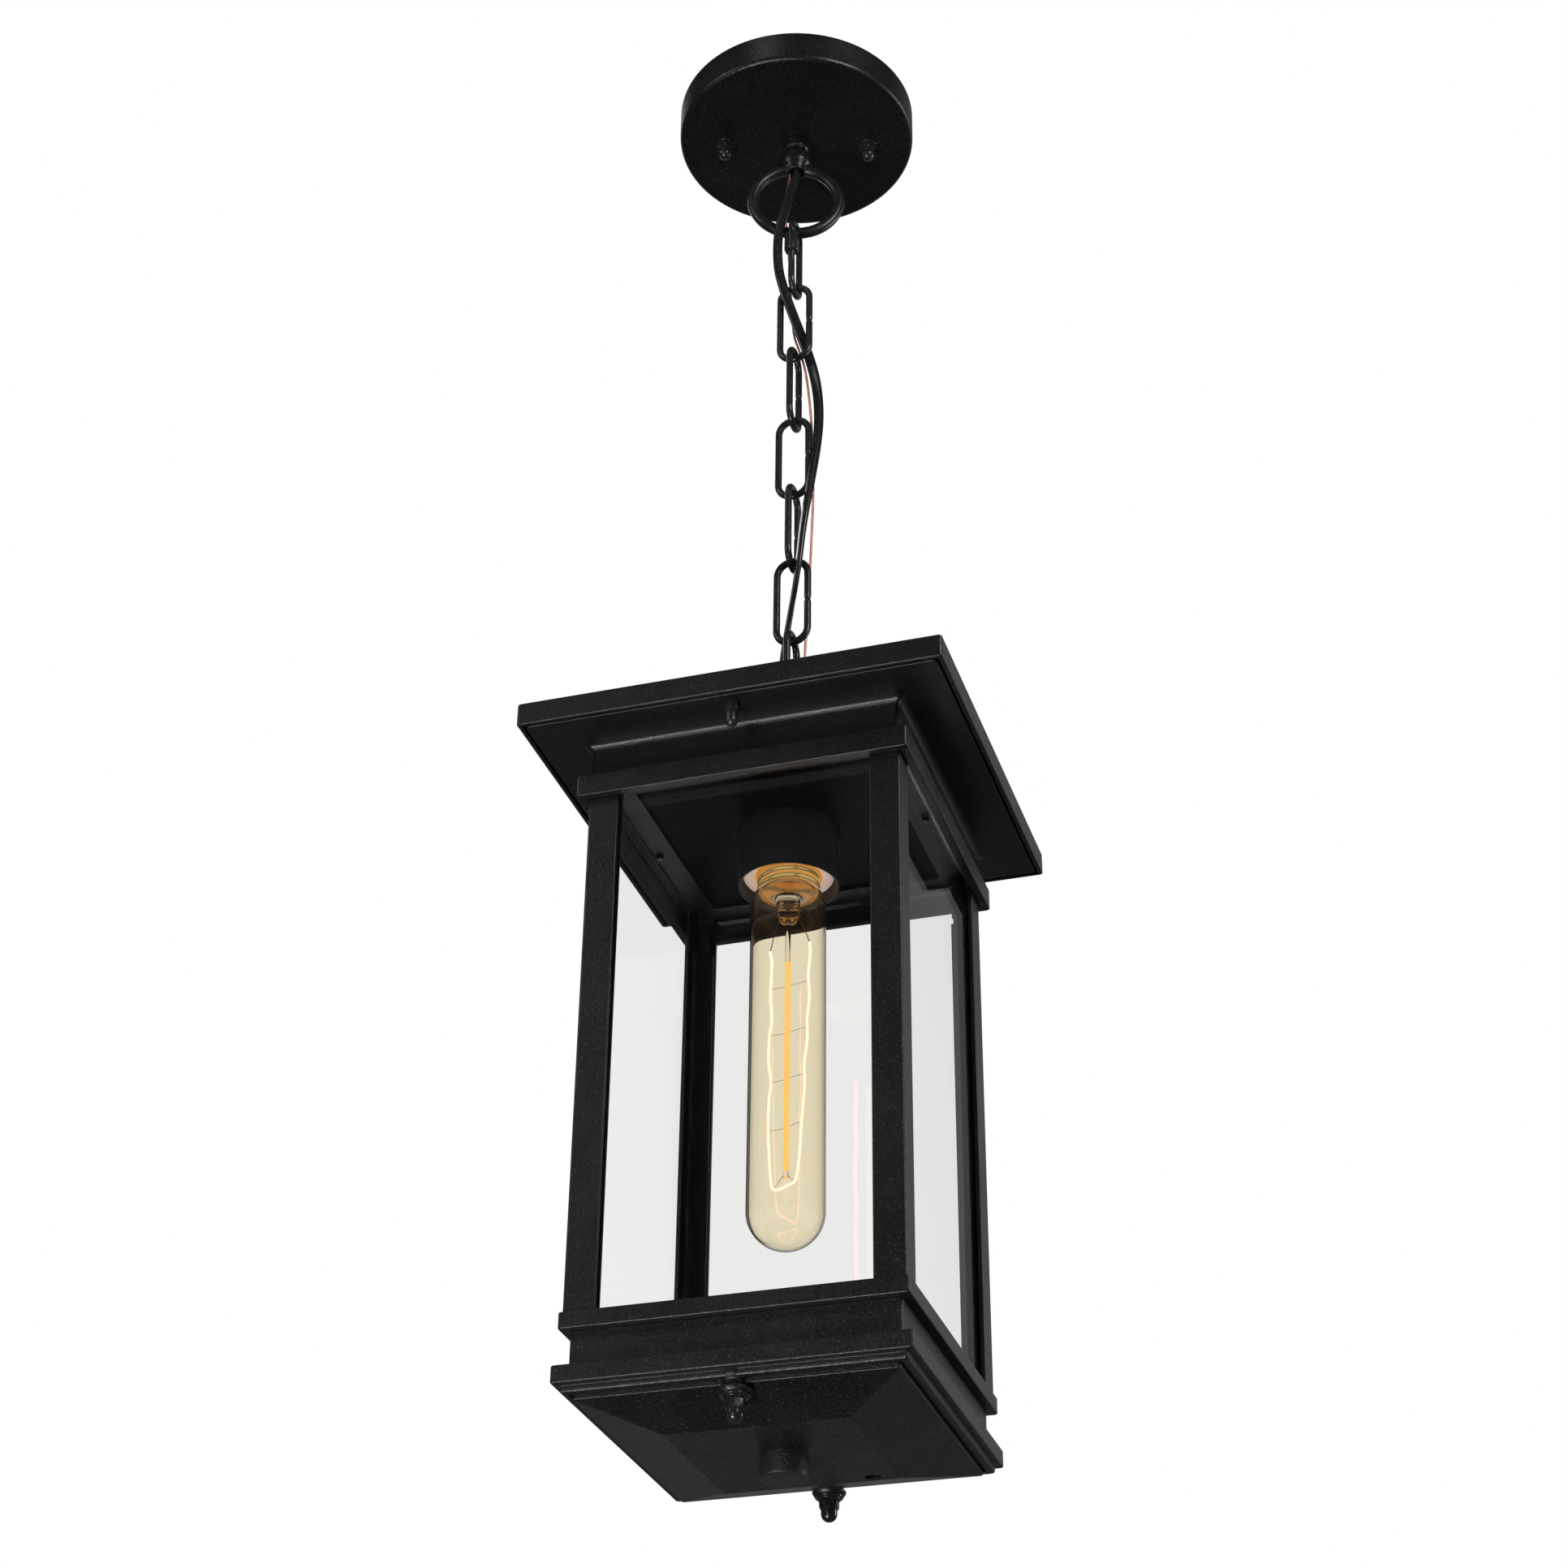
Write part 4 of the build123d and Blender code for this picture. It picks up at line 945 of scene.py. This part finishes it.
def make_soffit():
    """The panel under the roof, drawn down into a square neck with a floor round the cup."""
    panel_top, floor_top = ROOF_BOTTOM_Z + PLATE, NECK_BOTTOM_Z + PLATE
    outline = rounded(
        [
            (SOFFIT_HALF, panel_top, 0.2), (SOFFIT_HALF, ROOF_BOTTOM_Z, 0.5),
            (NECK_HALF, ROOF_BOTTOM_Z, 4.0), (NECK_HALF, NECK_BOTTOM_Z, 0.9),
            (0.02, NECK_BOTTOM_Z, 0.0), (0.02, floor_top, 0.0), (NECK_HALF - PLATE, floor_top, 0.8),
            (NECK_HALF - PLATE, panel_top, 1.2),
        ],
        8,
    )
    soffit = square_sweep("soffit_and_neck", outline, 1.6)
    drill(soffit, CUP_HOLE_R, -420.0, -405.0, segments=96)
    flat_shading(soffit)
    place(soffit, "roof", "lantern", "soffit", slot="black_iron")
    soffit.data.materials.append(M["ceiling"])
    for face in soffit.data.polygons:
        if face.center.z < (NECK_BOTTOM_Z + 0.1) * MM and face.normal.z < -0.9:
            face.material_index = 1


def make_soffit_nuts():
    for side, tag in ((-1, "front"), (1, "back")):
        at = (0.0, side * SOFFIT_NUT_Y)
        nut = cap_nut(f"soffit_cap_nut_{tag}", 5.5, 3.6, 2.5, 11.0, ROOF_BOTTOM_Z, at, 0.3)
        place(nut, "nuts", "lantern", "soffit_cap_nuts", slot="black_fasteners")


# ---- cage ----


def make_collars():
    """The square rings over and under the panes, with plates that the posts stand between."""
    plate_low, inner = NECK_BOTTOM_Z - PLATE, COLLAR_HALF - COLLAR_SKIRT
    outline = rounded(
        [
            (COLLAR_HALF, NECK_BOTTOM_Z, 0.7), (COLLAR_HALF, COLLAR_BOTTOM_Z, 0.7),
            (inner, COLLAR_BOTTOM_Z, 0.6), (inner, plate_low, 0.5), (FLANGE_HALF, plate_low, 0.3),
            (FLANGE_HALF, NECK_BOTTOM_Z, 0.0),
        ],
        5,
    )
    top = flat_shading(square_sweep("upper_collar", outline, 1.3))
    place(top, "cage", "lantern", "top_collar", slot="black_iron")

    plate_top, inner = SILL_BOTTOM_Z + PLATE, SILL_HALF - SILL_LIP
    outline = rounded(
        [
            (SILL_HALF, SILL_TOP_Z, 0.35), (SILL_HALF, SILL_BOTTOM_Z, 0.7),
            (FLANGE_HALF, SILL_BOTTOM_Z, 0.3), (FLANGE_HALF, plate_top, 0.2),
            (inner, plate_top, 0.3), (inner, SILL_TOP_Z, 0.2),
        ],
        5,
    )
    sill = flat_shading(square_sweep("lower_collar", outline, 1.2))
    place(sill, "cage", "lantern", "sill_collar", slot="black_iron")


def make_posts():
    """Four angle bars, each with its legs along the two faces that meet at its corner."""
    leg, wall = POST_HALF - POST_LEG, POST_HALF - POST_WALL
    corners = [(POST_HALF, POST_HALF, 1.1), (POST_HALF, leg, 0.6), (wall, leg, 0.4)]
    corners += [(wall, wall, 0.3), (leg, wall, 0.4), (leg, POST_HALF, 0.6)]
    z_low, z_high = SILL_BOTTOM_Z + PLATE, NECK_BOTTOM_Z - PLATE
    for sy, end in ((-1, "front"), (1, "back")):
        for sx, side in ((-1, "left"), (1, "right")):
            outline = [(sx * x, sy * y) for x, y in rounded(corners)]
            post = extrude(f"corner_post_{end}_{side}", outline, z_low, z_high)
            place(flat_shading(post), "cage", "lantern", f"post_{end}_{side}", slot="black_iron")


# ---- lamp ----


def threaded(name, base_r, ridge, z_low, z_high, fade_over=1.0):
    """A rolled metal shell with a round helical thread that fades out at both open ends."""
    segments, rows, wall = 96, int((z_high - z_low) / 0.28), 0.3
    levels = [z_low + (z_high - z_low) * i / rows for i in range(rows + 1)]
    verts = []
    for middle_r, ring_levels in ((base_r - ridge, levels), (base_r - ridge - wall, levels[::-1])):
        for z in ring_levels:
            fade = max(0, min(1.0, (z - z_low) / fade_over, (z_high - z) / fade_over))

            def radius(angle, z=z, fade=fade, middle_r=middle_r):
                return middle_r + ridge * sin(2 * pi * z / THREAD_PITCH - angle) * fade

            verts += round_ring(z, radius, segments)
    return new_object(name, verts, ring_faces(2 * len(levels), segments, True), 50.0)


def make_socket():
    """The cup, the porcelain body inside it and the screw shell that the lamp turns into."""
    inner_r = CUP_R - CUP_WALL
    cup = rounded(
        [
            (5.0, CUP_TOP_Z, 0.0), (CUP_R, CUP_TOP_Z, 2.4), (CUP_R, CUP_RIM_Z, 0.35),
            (inner_r, CUP_RIM_Z, 0.35), (inner_r, CUP_TOP_Z - CUP_WALL, 1.8),
            (5.0, CUP_TOP_Z - CUP_WALL, 0.0),
        ],
        6,
    )
    # the cup takes the lighter inside copy of the powder coat, painted light
    place(lathe("lamp_cup", cup, segments=120), "inside", "lantern", "socket_cup", slot="black_iron")
    body = rounded(
        [
            (SOCKET_BORE_R, SOCKET_RIM_Z, 0.8), (SOCKET_R, SOCKET_RIM_Z, 1.4),
            (SOCKET_R, SOCKET_TOP_Z, 0.8), (9.6, SOCKET_TOP_Z, 0.3), (9.6, -402.0, 0.3),
            (3.1, -402.0, 0.2), (3.1, -407.9, 0.2), (SOCKET_BORE_R, -407.9, 0.2),
        ],
        5,
    )
    place(lathe("ceramic_socket", body, segments=120), "ceramic", "lantern", "lamp_socket", slot="ceramic")
    shell = threaded("socket_screw_shell", SOCKET_BORE_R - 0.2, 0.16, SOCKET_RIM_Z + 0.4, -408.2)
    place(shell, "brass", "lantern", "screw_shell", slot="brass")


def make_lamp():
    """The screw cap with its crown and eyelet, and the long tube of glass."""
    shell = threaded("lamp_screw_cap", CAP_R, 0.36, CAP_BOTTOM_Z, CAP_TOP_Z, 1.6)
    outline = [(12.3, CAP_TOP_Z, 0.3), (12.6, -416.2, 0.6), (10.8, -415.5, 0.4)]
    outline += [(5.4, -412.8, 0.3), (5.4, -413.6, 0.2), (10.4, -416.3, 0.3)]
    crown = lathe("lamp_crown", rounded(outline))
    outline = [(0.01, -412.9, 0), (4.6, -412.9, 0.2), (4.6, -412.2, 0.3), (0.01, -411.7, 0)]
    eyelet = lathe("lamp_eyelet", rounded(outline), segments=48)
    cap = joined("lamp_cap", [shell, crown, eyelet])
    finish_mesh(cap.data, 45.0)
    place(cap, "brass", "bulb", "bulb_cap", slot="brass")

    neck_z = CAP_BOTTOM_Z + 0.1
    outer = [(BULB_NECK_R, neck_z + 1.2), (BULB_NECK_R, neck_z)]
    for k in range(1, 13):
        turn = pi / 2 * k / 12
        radius = BULB_NECK_R + (BULB_R - BULB_NECK_R) * sin(turn) ** 0.9
        outer.append((radius, neck_z + (BULB_SHOULDER_Z - neck_z) * (1 - cos(turn))))
    outer += [(BULB_R, BULB_SHOULDER_Z - 14.0 * k) for k in range(1, 10)]
    inner = [(r - BULB_WALL, z) for r, z in outer]
    for line, radius in ((outer, BULB_R), (inner, BULB_R - BULB_WALL)):
        for k in range(21):
            turn = pi / 2 * k / 20
            line.append((radius * cos(turn), BULB_TIP_Z + BULB_R - radius * sin(turn)))
    glass = lathe("lamp_envelope", outer + inner[::-1], segments=96, sharp=80.0)
    place(glass, "bulb", "bulb", "bulb_glass", slot="bulb_glass")


def wire_along(name, points, radius, sides):
    return tube_mesh(name, points, lambda i: circle(radius, sides), 60.0)


def down_from(z, count):
    """Points 2 mm apart on the lamp's axis."""
    return [Vector((0, 0, z - 2.0 * k)) for k in range(count)]


def smooth_path(points, steps):
    """A smooth curve through points in mm."""
    pts = [2 * points[0] - points[1], *points, 2 * points[-1] - points[-2]]
    out = []
    for a, b, c, d in zip(pts, pts[1:], pts[2:], pts[3:]):
        square, cube = 2 * a - 5 * b + 4 * c - d, 3 * b - a - 3 * c + d
        for k in range(steps):
            t = k / steps
            out.append(0.5 * (2 * b + (c - a) * t + square * t**2 + cube * t**3))
    out.append(points[-1])
    return out


# the hairpin and its supports are (sideways, depth, z) in a plane turned by FILAMENT_TURN
HAIRPIN = [
    (-7.3, 0.0, -469.3), (-6.6, 0.3, -475.0), (-7.0, 0.2, -489.0), (-6.3, 0.4, -500.0),
    (-7.1, 0.3, -507.0), (-7.4, 0.2, -518.0), (-6.4, 0.3, -528.0), (-7.0, 0.2, -536.0),
    (-7.2, 0.0, -548.0), (-6.7, 0.0, -560.0), (-6.0, 0.0, -570.0), (-5.2, 0.0, -573.6),
    (-3.2, 0.0, -574.2), (0.2, 0.0, -572.6), (3.2, 0.0, -570.6), (4.4, -0.2, -567.0),
    (5.4, -0.4, -556.0), (6.0, -0.3, -544.0), (7.0, 0.0, -530.0), (6.9, 0.3, -519.0),
    (8.1, 0.4, -508.0), (7.9, 0.4, -500.0), (8.8, 0.3, -489.0), (8.3, 0.2, -480.0),
    (9.0, 0.1, -471.0), (8.9, 0.0, -464.5),
]


LEADS = [
    (0.1, [(-1.0, 0.0, -568.0), (-3.2, 0.0, -571.6), (-5.0, 0.0, -573.9)]),
    (0.1, [(1.0, 0.0, -568.0), (2.2, 0.0, -569.6), (3.4, 0.0, -570.8)]),
    (0.2, [(-7.3, 0.0, -469.6), (-5.4, 0.0, -460.0), (-3.4, 0.0, -452.6)]),
    (0.2, [(8.9, 0.0, -464.8), (6.4, 0.0, -458.0), (3.6, 0.0, -451.6)]),
]
SUPPORTS = [(-484.5, -6.9, 8.6), (-505.5, -7.0, 8.1), (-526.1, -6.5, 7.1), (-547.3, -7.2, 5.9)]


def in_lamp(route, steps):
    """A smooth path through points given in the hairpin's plane."""
    turn = Matrix.Rotation(FILAMENT_TURN, 3, "Z")
    return smooth_path([turn @ Vector(point) for point in route], steps)


def make_stem():
    """The glass foot, the pinch with a bead round its top, and the long centre rod."""
    outline = [(11.2, -440.6, 0.4), (11.2, -441.8, 0.6), (5.6, -445.4, 2.0), (4.4, -449.0, 1.0)]
    outline += [(0.01, -449.0, 0), (0.01, -443.6, 0), (5.0, -443.2, 2.0)]
    foot = lathe("foot", rounded(outline, 5))
    outline = [(0.01, -446.0, 0), (4.6, -446.0, 1.0), (5.2, -452.0, 1.5)]
    outline += [(3.0, -456.4, 1.5), (0.01, -456.4, 0)]
    pinch = lathe("pinch", rounded(outline, 6), segments=48)
    pinch.data.transform(Matrix.Diagonal((1.0, 0.45, 1.0, 1.0)))
    pinch.data.transform(Matrix.Rotation(FILAMENT_TURN, 4, "Z"))
    bead = lathe("bead", [(1.3 + a, b - 449.0) for a, b in circle(1.1, 16)], segments=32)
    rod = wire_along("rod", down_from(-455.0, 58), 1.15, 20)
    stem = joined("lamp_stem", [foot, pinch, bead, rod])
    finish_mesh(stem.data, 60.0)
    place(stem, "stem", "bulb", "bulb_stem", slot="bulb_glass")


def make_filament():
    wire = wire_along("lamp_filament", in_lamp(HAIRPIN, 10), 0.42, 12)
    place(wire, "filament", "bulb", "filament", slot="filament")
    wires = []
    for z, left, right in SUPPORTS:
        route = [(left, 0.0, z - 2.2), (left / 2, 0.3, z - 1.2), (0.0, 1.2, z)]
        route += [(right / 2, 0.3, z + 1.2), (right, 0.0, z + 2.2)]
        wires.append(wire_along("support", in_lamp(route, 4), 0.09, 6))
    for radius, route in LEADS:
        wires.append(wire_along("lead", in_lamp(route, 4), radius, 8))
    supports = joined("lamp_supports", wires)
    finish_mesh(supports.data, 60.0)
    place(supports, "steel", "bulb", "filament_supports", slot="filament")
    # painted light: a glowing core in the glass centre rod, which is no lamp, stands in for the lamp light
    # caught in the glass
    glow = wire_along("painted_glow_in_rod", down_from(-474.0, 47), 0.8, 12)
    place(glow, "rod", "bulb", slot="filament")


# ---- base ----


def make_base_neck():
    inner, plate_top = BASE_NECK_HALF - SHEET, BASE_NECK_BOTTOM_Z + PLATE
    outline = rounded(
        [
            (BASE_NECK_HALF, SILL_BOTTOM_Z, 0.3), (BASE_NECK_HALF, BASE_NECK_BOTTOM_Z, 0.5),
            (52.3, BASE_NECK_BOTTOM_Z, 0.3), (52.3, plate_top, 0.2), (inner, plate_top, 0.5),
            (inner, SILL_BOTTOM_Z, 0.2),
        ]
    )
    neck = flat_shading(square_sweep("base_box", outline, 1.0))
    place(neck, "base", "lantern", "base_neck", slot="black_iron")


def make_boss(side):
    """A flared foot, a waist and a skirt, where a stud comes through the cover."""
    outline = rounded(
        [
            (BOSS_BORE_R + 0.05, BOSS_BOTTOM_Z, 0.2), (5.9, BOSS_BOTTOM_Z, 0.6), (6.9, -675.4, 1.0),
            (4.9, -673.6, 1.2), (5.0, -672.4, 0.8), (6.5, -671.2, 0.8), (6.6, -669.2, 0.2),
            (BOSS_BORE_R + 0.05, -668.4, 0.0),
        ],
        5,
    )
    return lathe("boss", outline, (0, side * BOSS_Y), 64)


def make_base_cover():
    """The band, two mouldings under it and the hipped pan, in one casting with its bosses."""
    outline = rounded(
        [
            (0.02, FLAT_Z, 0.0), (FLAT_HALF, FLAT_Z, 2.0), (60.9, -673.5, 0.45),
            (61.1, -670.9, 0.3), (61.9, -670.9, 0.3), (62.1, -672.0, 0.9), (64.7, -672.0, 1.3),
            (64.9, -669.4, 0.3), (BAND_HALF, BAND_BOTTOM_Z, 0.8), (BAND_HALF, BAND_TOP_Z, 0.7),
            (62.8, BAND_TOP_Z, 0.4), (62.8, -667.7, 0.2), (50.0, -667.7, 0.4), (49.6, -671.3, 0.6),
            (34.5, FLAT_Z + COVER_SKIN, 2.0), (0.02, FLAT_Z + COVER_SKIN, 0.0),
        ],
        5,
    )
    cover = square_sweep("base_pan", outline, 1.0)
    for side in (-1, 1):
        drill(cover, BOSS_BORE_R, -690.0, -660.0, (0, side * BOSS_Y), 40)
    drill(cover, VENT_R, -690.0, -670.0, VENT_AT)
    tray = joined("base_tray", [cover, make_boss(-1), make_boss(1)])
    finish_mesh(tray.data, 35.0)
    place(flat_shading(tray), "base", "base", "base_cover", slot="black_iron")


def make_base_hardware():
    top_z = FLAT_Z + 0.1
    knob = [(0.01, top_z, 0), (KNOB_R, top_z, 0.2), (KNOB_R, KNOB_BOTTOM_Z, 0.8), (0.01, KNOB_BOTTOM_Z, 0)]
    button = lathe("base_button", rounded(knob, 5), segments=96)
    place(button, "knob", "base", "base_knob", slot="black_iron")
    for side, tag in ((-1, "front"), (1, "back")):
        at = (0.0, side * BOSS_Y)
        upper = washer_mesh("upper", 5.6, BOSS_BORE_R, BOSS_BOTTOM_Z, 0.8, at)
        lower = washer_mesh("lower", 4.8, BOSS_BORE_R, BOSS_BOTTOM_Z - 0.8, 0.7, at)
        pair = joined(f"base_washers_{tag}", [upper, lower])
        finish_mesh(pair.data, 35.0)
        place(pair, "nuts", "base", "base_washers", slot="black_fasteners")
        nut = cap_nut(f"base_cap_nut_{tag}", 7.0, 3.6, 3.2, 8.6, BOSS_BOTTOM_Z - 1.5, at, 0.3)
        place(nut, "nuts", "base", "base_cap_nuts", slot="black_fasteners")


make_roof_loop()
make_roof()
make_soffit()
make_soffit_nuts()
make_collars()
make_posts()
make_socket()
make_lamp()
make_stem()
make_filament()
make_base_neck()
make_base_cover()
make_base_hardware()


# ---- CAD nodes that keep their shape ----

KEPT = [
    ("zinc", 0.2, "crossbar nipple_locknuts ceiling_nipple roof_nipple roof_nipple_nuts roof_tabs"),
    ("dull_zinc", 0.15, "corner_nuts"),
    ("inside", 0.15, "socket_bracket"),
    ("nuts", 0.15, "corner_screws canopy_studs soffit_studs base_studs bracket_screws socket_screws"),
    ("cage", 0.2, "glass_channels"),
    ("green", 0.15, "ground_screw"),
    ("brass", 0.1, "centre_contact"),
    ("cord", 0.1, "supply_leads socket_leads"),
    ("pane", 0.15, "glass_front glass_back"),
    ("side_pane", 0.15, "glass_left glass_right"),
]
for key, bevel, names in KEPT:
    for name in names.split():
        paint(NODES[name], key)
        eased(NODES[name], bevel)


# ---- floor and light ----


def make_floor():
    mesh = bpy.data.meshes.new("floor")
    half, z = 60.0, -1.9
    corners = [(-half, -half, z), (half, -half, z), (half, half, z), (-half, half, z)]
    mesh.from_pydata(corners, [], [(0, 1, 2, 3)])
    floor = bpy.data.objects.new("floor", mesh)
    bpy.context.scene.collection.objects.link(floor)
    n = Nodes("pale_floor")
    pale = n.ramp(n.noise(3.0), [(0.3, (0.86, 0.86, 0.86)), (0.7, (0.9, 0.9, 0.9))])
    n.set(Base_Color=pale, Roughness=0.9)
    mesh.materials.append(n.material)
    floor.visible_glossy = False


def show_light(data, at):
    """Adds a light that is seen only by what it lights."""
    lamp = bpy.data.objects.new(data.name, data)
    bpy.context.scene.collection.objects.link(lamp)
    lamp.location = at
    lamp.visible_camera = False
    lamp.visible_transmission = False
    return lamp


def area_light(name, at, target, size, power):
    data = bpy.data.lights.new(name, "AREA")
    data.shape = "RECTANGLE"
    data.size, data.size_y = size
    data.energy = power
    lamp = show_light(data, at)
    lamp.rotation_euler = (Vector(target) - Vector(at)).to_track_quat("-Z", "Y").to_euler()


def make_lamp_glow():
    """The little light that the lit filament gives."""
    data = bpy.data.lights.new("lamp_glow", "POINT")
    data.energy = 0.1
    data.color = (1.0, 0.62, 0.28)
    data.shadow_soft_size = 0.006
    show_light(data, (0.0, -0.009, -0.462)).visible_glossy = False


def make_world():
    """White where it is seen straight or through glass, and a dim studio for reflections."""
    world = bpy.data.worlds.new("studio")
    bpy.context.scene.world = world
    world.use_nodes = True
    world.node_tree.nodes.clear()
    tree = Tree(world.node_tree)

    def background(strength):
        node = tree.add("Background")
        node.inputs["Color"].default_value = (1, 1, 1, 1)
        node.inputs["Strength"].default_value = strength
        return node

    def mixed(factor, a, b):
        node = tree.add("MixShader")
        for socket, source in zip(node.inputs, (factor, a, b)):
            tree.link(source, socket)
        return node.outputs[0]

    # reflections see a wall that brightens towards the back and the top
    direction = tree.add("SeparateXYZ")
    tree.link(tree.add("TexCoord").outputs["Generated"], direction.inputs[0])
    back = tree.remap(direction.outputs["Y"], 0.45, 0.95, 0.0, 1.0)
    top = tree.remap(direction.outputs["Z"], -0.75, 0.4, 0.0, 1.0)
    tones = [(0.0, (0.02, 0.02, 0.021)), (1.0, (0.36, 0.36, 0.37))]
    dim = background(1.0)
    tree.link(tree.ramp(tree.math("MULTIPLY", back, top), tones), dim.inputs["Color"])

    path = tree.add("LightPath").outputs
    scattered = tree.math("GREATER_THAN", path["Diffuse Depth"], 0.5)
    depth = tree.math("ADD", path["Diffuse Depth"], path["Glossy Depth"])
    bounced = mixed(scattered, dim.outputs[0], background(0.6).outputs[0])
    surface = mixed(tree.math("LESS_THAN", depth, 0.5), bounced, background(1.0).outputs[0])
    tree.link(surface, tree.add("OutputWorld").inputs["Surface"])


MIDDLE = (0.0, 0.0, -0.45)
UPPER_CHAIN = (0.0, 0.0, -0.14)

make_floor()
make_world()
area_light("key", (1.5, -1.3, 0.3), MIDDLE, (0.5, 1.1), 5.0)
area_light("side", (1.7, 0.9, -0.3), MIDDLE, (0.5, 1.2), 12.0)
area_light("fill", (-1.5, -1.3, 0.2), MIDDLE, (0.4, 1.1), 1.2)
area_light("edge", (-0.42, -0.86, -1.68), MIDDLE, (0.4, 0.4), 13.0)
area_light("high_left", (-0.8, -0.75, 0.12), UPPER_CHAIN, (0.22, 0.4), 1.3)
area_light("low_front", (-0.3, -1.35, -1.0), (0.0, 0.0, -0.1), (0.3, 0.3), 3.0)
area_light("high_front", (-0.2, -0.85, 0.85), (0.0, 0.0, 0.0), (0.3, 0.3), 0.5)
area_light("back_left", (-1.3, 1.3, 0.9), MIDDLE, (0.9, 1.2), 6.0)
area_light("high_right", (0.75, -0.5, 0.1), UPPER_CHAIN, (0.18, 0.4), 3.0)
make_lamp_glow()
bpy.context.scene.view_settings.view_transform = "Standard"
bpy.context.scene.view_settings.look = "None"
